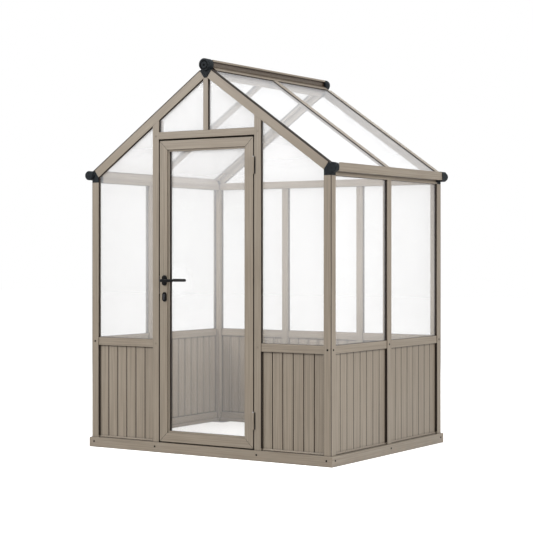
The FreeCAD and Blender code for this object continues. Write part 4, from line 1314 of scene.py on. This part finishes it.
@dataclass
class Studio(Assembly):
    """White floor, soft lights and the camera."""

    camera_place: tuple[float, float, float] = (5.3038, -8.1556, 1.2120)
    camera_turn_deg: float = 33.1044
    lens_mm: float = 103.19
    sensor_mm: float = 36.0
    frame_shift: float = -0.0237
    floor_size: float = 60.0
    floor_squares: int = 8
    floor_colour: str = "#F4F4F4"
    # What the floor throws back on the object, like a matt paving rather than a white sheet.
    bounce_colour: str = "#B4ACA2"
    floor_lift: float = 0.6
    slab_lift: float = 0.27
    slab_mm: float = 45.0
    slab_foot_mm: float = 0.5
    slab_clear_mm: float = 4.0
    sky_light: float = 0.46
    # A key at the upper left, a fill at the right, one overhead and one behind.
    lamps: tuple[Lamp, ...] = (
        Lamp("key", (-3.2, -5.0, 4.2), 3.0, 205.0),
        Lamp("fill", (6.0, -1.5, 2.8), 3.0, 182.0),
        Lamp("overhead", (0.0, -1.0, 6.0), 4.0, 115.0),
        Lamp("behind", (-2.4, 6.0, 3.2), 3.0, 120.0),
    )
    aim: tuple[float, float, float] = (0.0, 0.0, 1.2)
    # Hazy panes spread the daylight inside, which the clear ones of the render do not.
    inside: Lamp = Lamp("inside", (0.0, 0.0, 1.15), 0.3, 8.5)

    def build(self) -> None:
        """Set the sky, the floor, the lights and the camera."""
        self.build_sky()
        self.build_floor()
        self.build_lights()
        self.build_camera()

    def seen(self, tree: Tree) -> bpy.types.NodeSocket:
        """Tell the rays that show a background from those that light the object.

        Args:
            tree: the node tree that asks.

        Returns:
            An output that is 1 for camera, glossy and transmission rays.
        """
        rays = add(tree, "LightPath").outputs
        seen = rays["Is Camera Ray"]
        for kind in ("Is Glossy Ray", "Is Transmission Ray"):
            seen = add(tree, "Math", {0: seen, 1: rays[kind]}, operation="MAXIMUM").outputs[0]
        return seen

    def build_sky(self) -> None:
        """Make the world white to the eye and softer as a light."""
        world = bpy.data.worlds.new("studio")
        bpy.context.scene.world = world
        world.use_nodes = True
        tree = world.node_tree
        tree.nodes.clear()
        levels = {"To Min": self.sky_light, "To Max": 1.0}
        strength = add(tree, "MapRange", {"Value": self.seen(tree), **levels})
        sky = add(tree, "Background", {"Color": (1.0, 1.0, 1.0, 1.0), "Strength": strength})
        add(tree, "OutputWorld", {"Surface": sky})

    def floor_material(self, name: str, bounce_colour: str, glow_lift: float) -> bpy.types.Material:
        """Make a floor's surface: white to the eye, with the object's shadow.

        Args:
            name: the material's name.
            bounce_colour: its colour as the object sees it.
            glow_lift: how far it is lifted towards white.

        Returns:
            The material.
        """
        material = bpy.data.materials.new(name)
        material.use_nodes = True
        tree = material.node_tree
        tree.nodes.clear()
        seen = self.seen(tree)
        colours = {"Color1": linear(bounce_colour), "Color2": linear(self.floor_colour)}
        lit = add(tree, "BsdfDiffuse", {"Color": add(tree, "MixRGB", {"Fac": seen, **colours})})
        lift = add(tree, "MapRange", {"Value": seen, "To Min": 0.0, "To Max": glow_lift})
        glow = add(tree, "Emission", {"Strength": lift})
        add(tree, "OutputMaterial", {"Surface": add(tree, "AddShader", {0: lit, 1: glow})})
        return material

    def build_floor(self) -> None:
        """Lay the floor, and a low slab inside the base rails that stops short of the corner brackets."""
        ground, slab = bmesh.new(), bmesh.new()
        squares = {"x_segments": self.floor_squares, "y_segments": self.floor_squares}
        bmesh.ops.create_grid(ground, size=self.floor_size / 2, **squares)
        bracket = max(solids_of("base_corner_brackets"), key=lambda item: item.low.x + item.low.y)
        clear = self.slab_clear_mm * MM
        x, y = bracket.high.x - clear, bracket.high.y - clear
        notch_x, notch_y = bracket.low.x - clear, bracket.low.y - clear
        corner = [(x, -notch_y), (x, notch_y), (notch_x, notch_y), (notch_x, y)]
        outline = corner + [(-across, along) for across, along in reversed(corner)]
        outline += [(-across, -along) for across, along in corner[2:]]
        outline += [(across, -along) for across, along in reversed(corner[2:])]
        heights = (self.slab_foot_mm * MM, self.slab_mm * MM)
        loft(slab, [[Vector((across, along, height)) for across, along in outline] for height in heights])
        for name, mesh, bounce, lift in (
            ("floor", ground, self.bounce_colour, self.floor_lift),
            ("floor_slab", slab, self.floor_colour, self.slab_lift),
        ):
            piece = stand_mesh(name, mesh, self.floor_material(name, bounce, lift))

    def build_lights(self) -> None:
        """Hang the soft lights, and a weak one inside that is never seen itself."""
        for lamp in self.lamps:
            light = bpy.data.lights.new(lamp.name, "AREA")
            light.shape = "DISK"
            light.size = lamp.size
            light.energy = lamp.watts
            hung = stand(lamp.name, light)
            hung.location = lamp.place
            beam = Vector(self.aim) - Vector(lamp.place)
            hung.rotation_euler = beam.to_track_quat("-Z", "Y").to_euler()
        light = bpy.data.lights.new(self.inside.name, "POINT")
        light.energy = self.inside.watts
        light.shadow_soft_size = self.inside.size
        hung = stand(self.inside.name, light)
        hung.location = self.inside.place
        hung.visible_camera = False
        hung.visible_glossy = False
        hung.visible_transmission = False

    def build_camera(self) -> None:
        """Stand the camera level, at the photograph's place."""
        data = bpy.data.cameras.new("camera")
        data.lens = self.lens_mm
        data.sensor_width = self.sensor_mm
        data.shift_y = self.frame_shift
        camera = stand("camera", data)
        camera.location = self.camera_place
        camera.rotation_euler = (math.pi / 2, 0.0, math.radians(self.camera_turn_deg))
        bpy.context.scene.camera = camera


def main() -> None:
    """Dress and build the sub-assemblies in order."""
    logging.basicConfig(level=logging.INFO, format="%(name)s: %(message)s")
    bpy.context.scene.view_settings.view_transform = "Standard"
    for assembly in (
        Studio(), Base(), WallFrame(), Skirts(), Roof(), Glazing(), Door(), Handle(), FrameScrews()
    ):
        LOG.info("%s", type(assembly).__name__)
        assembly.dress()
        assembly.build()


if __name__ == "__main__":
    main()
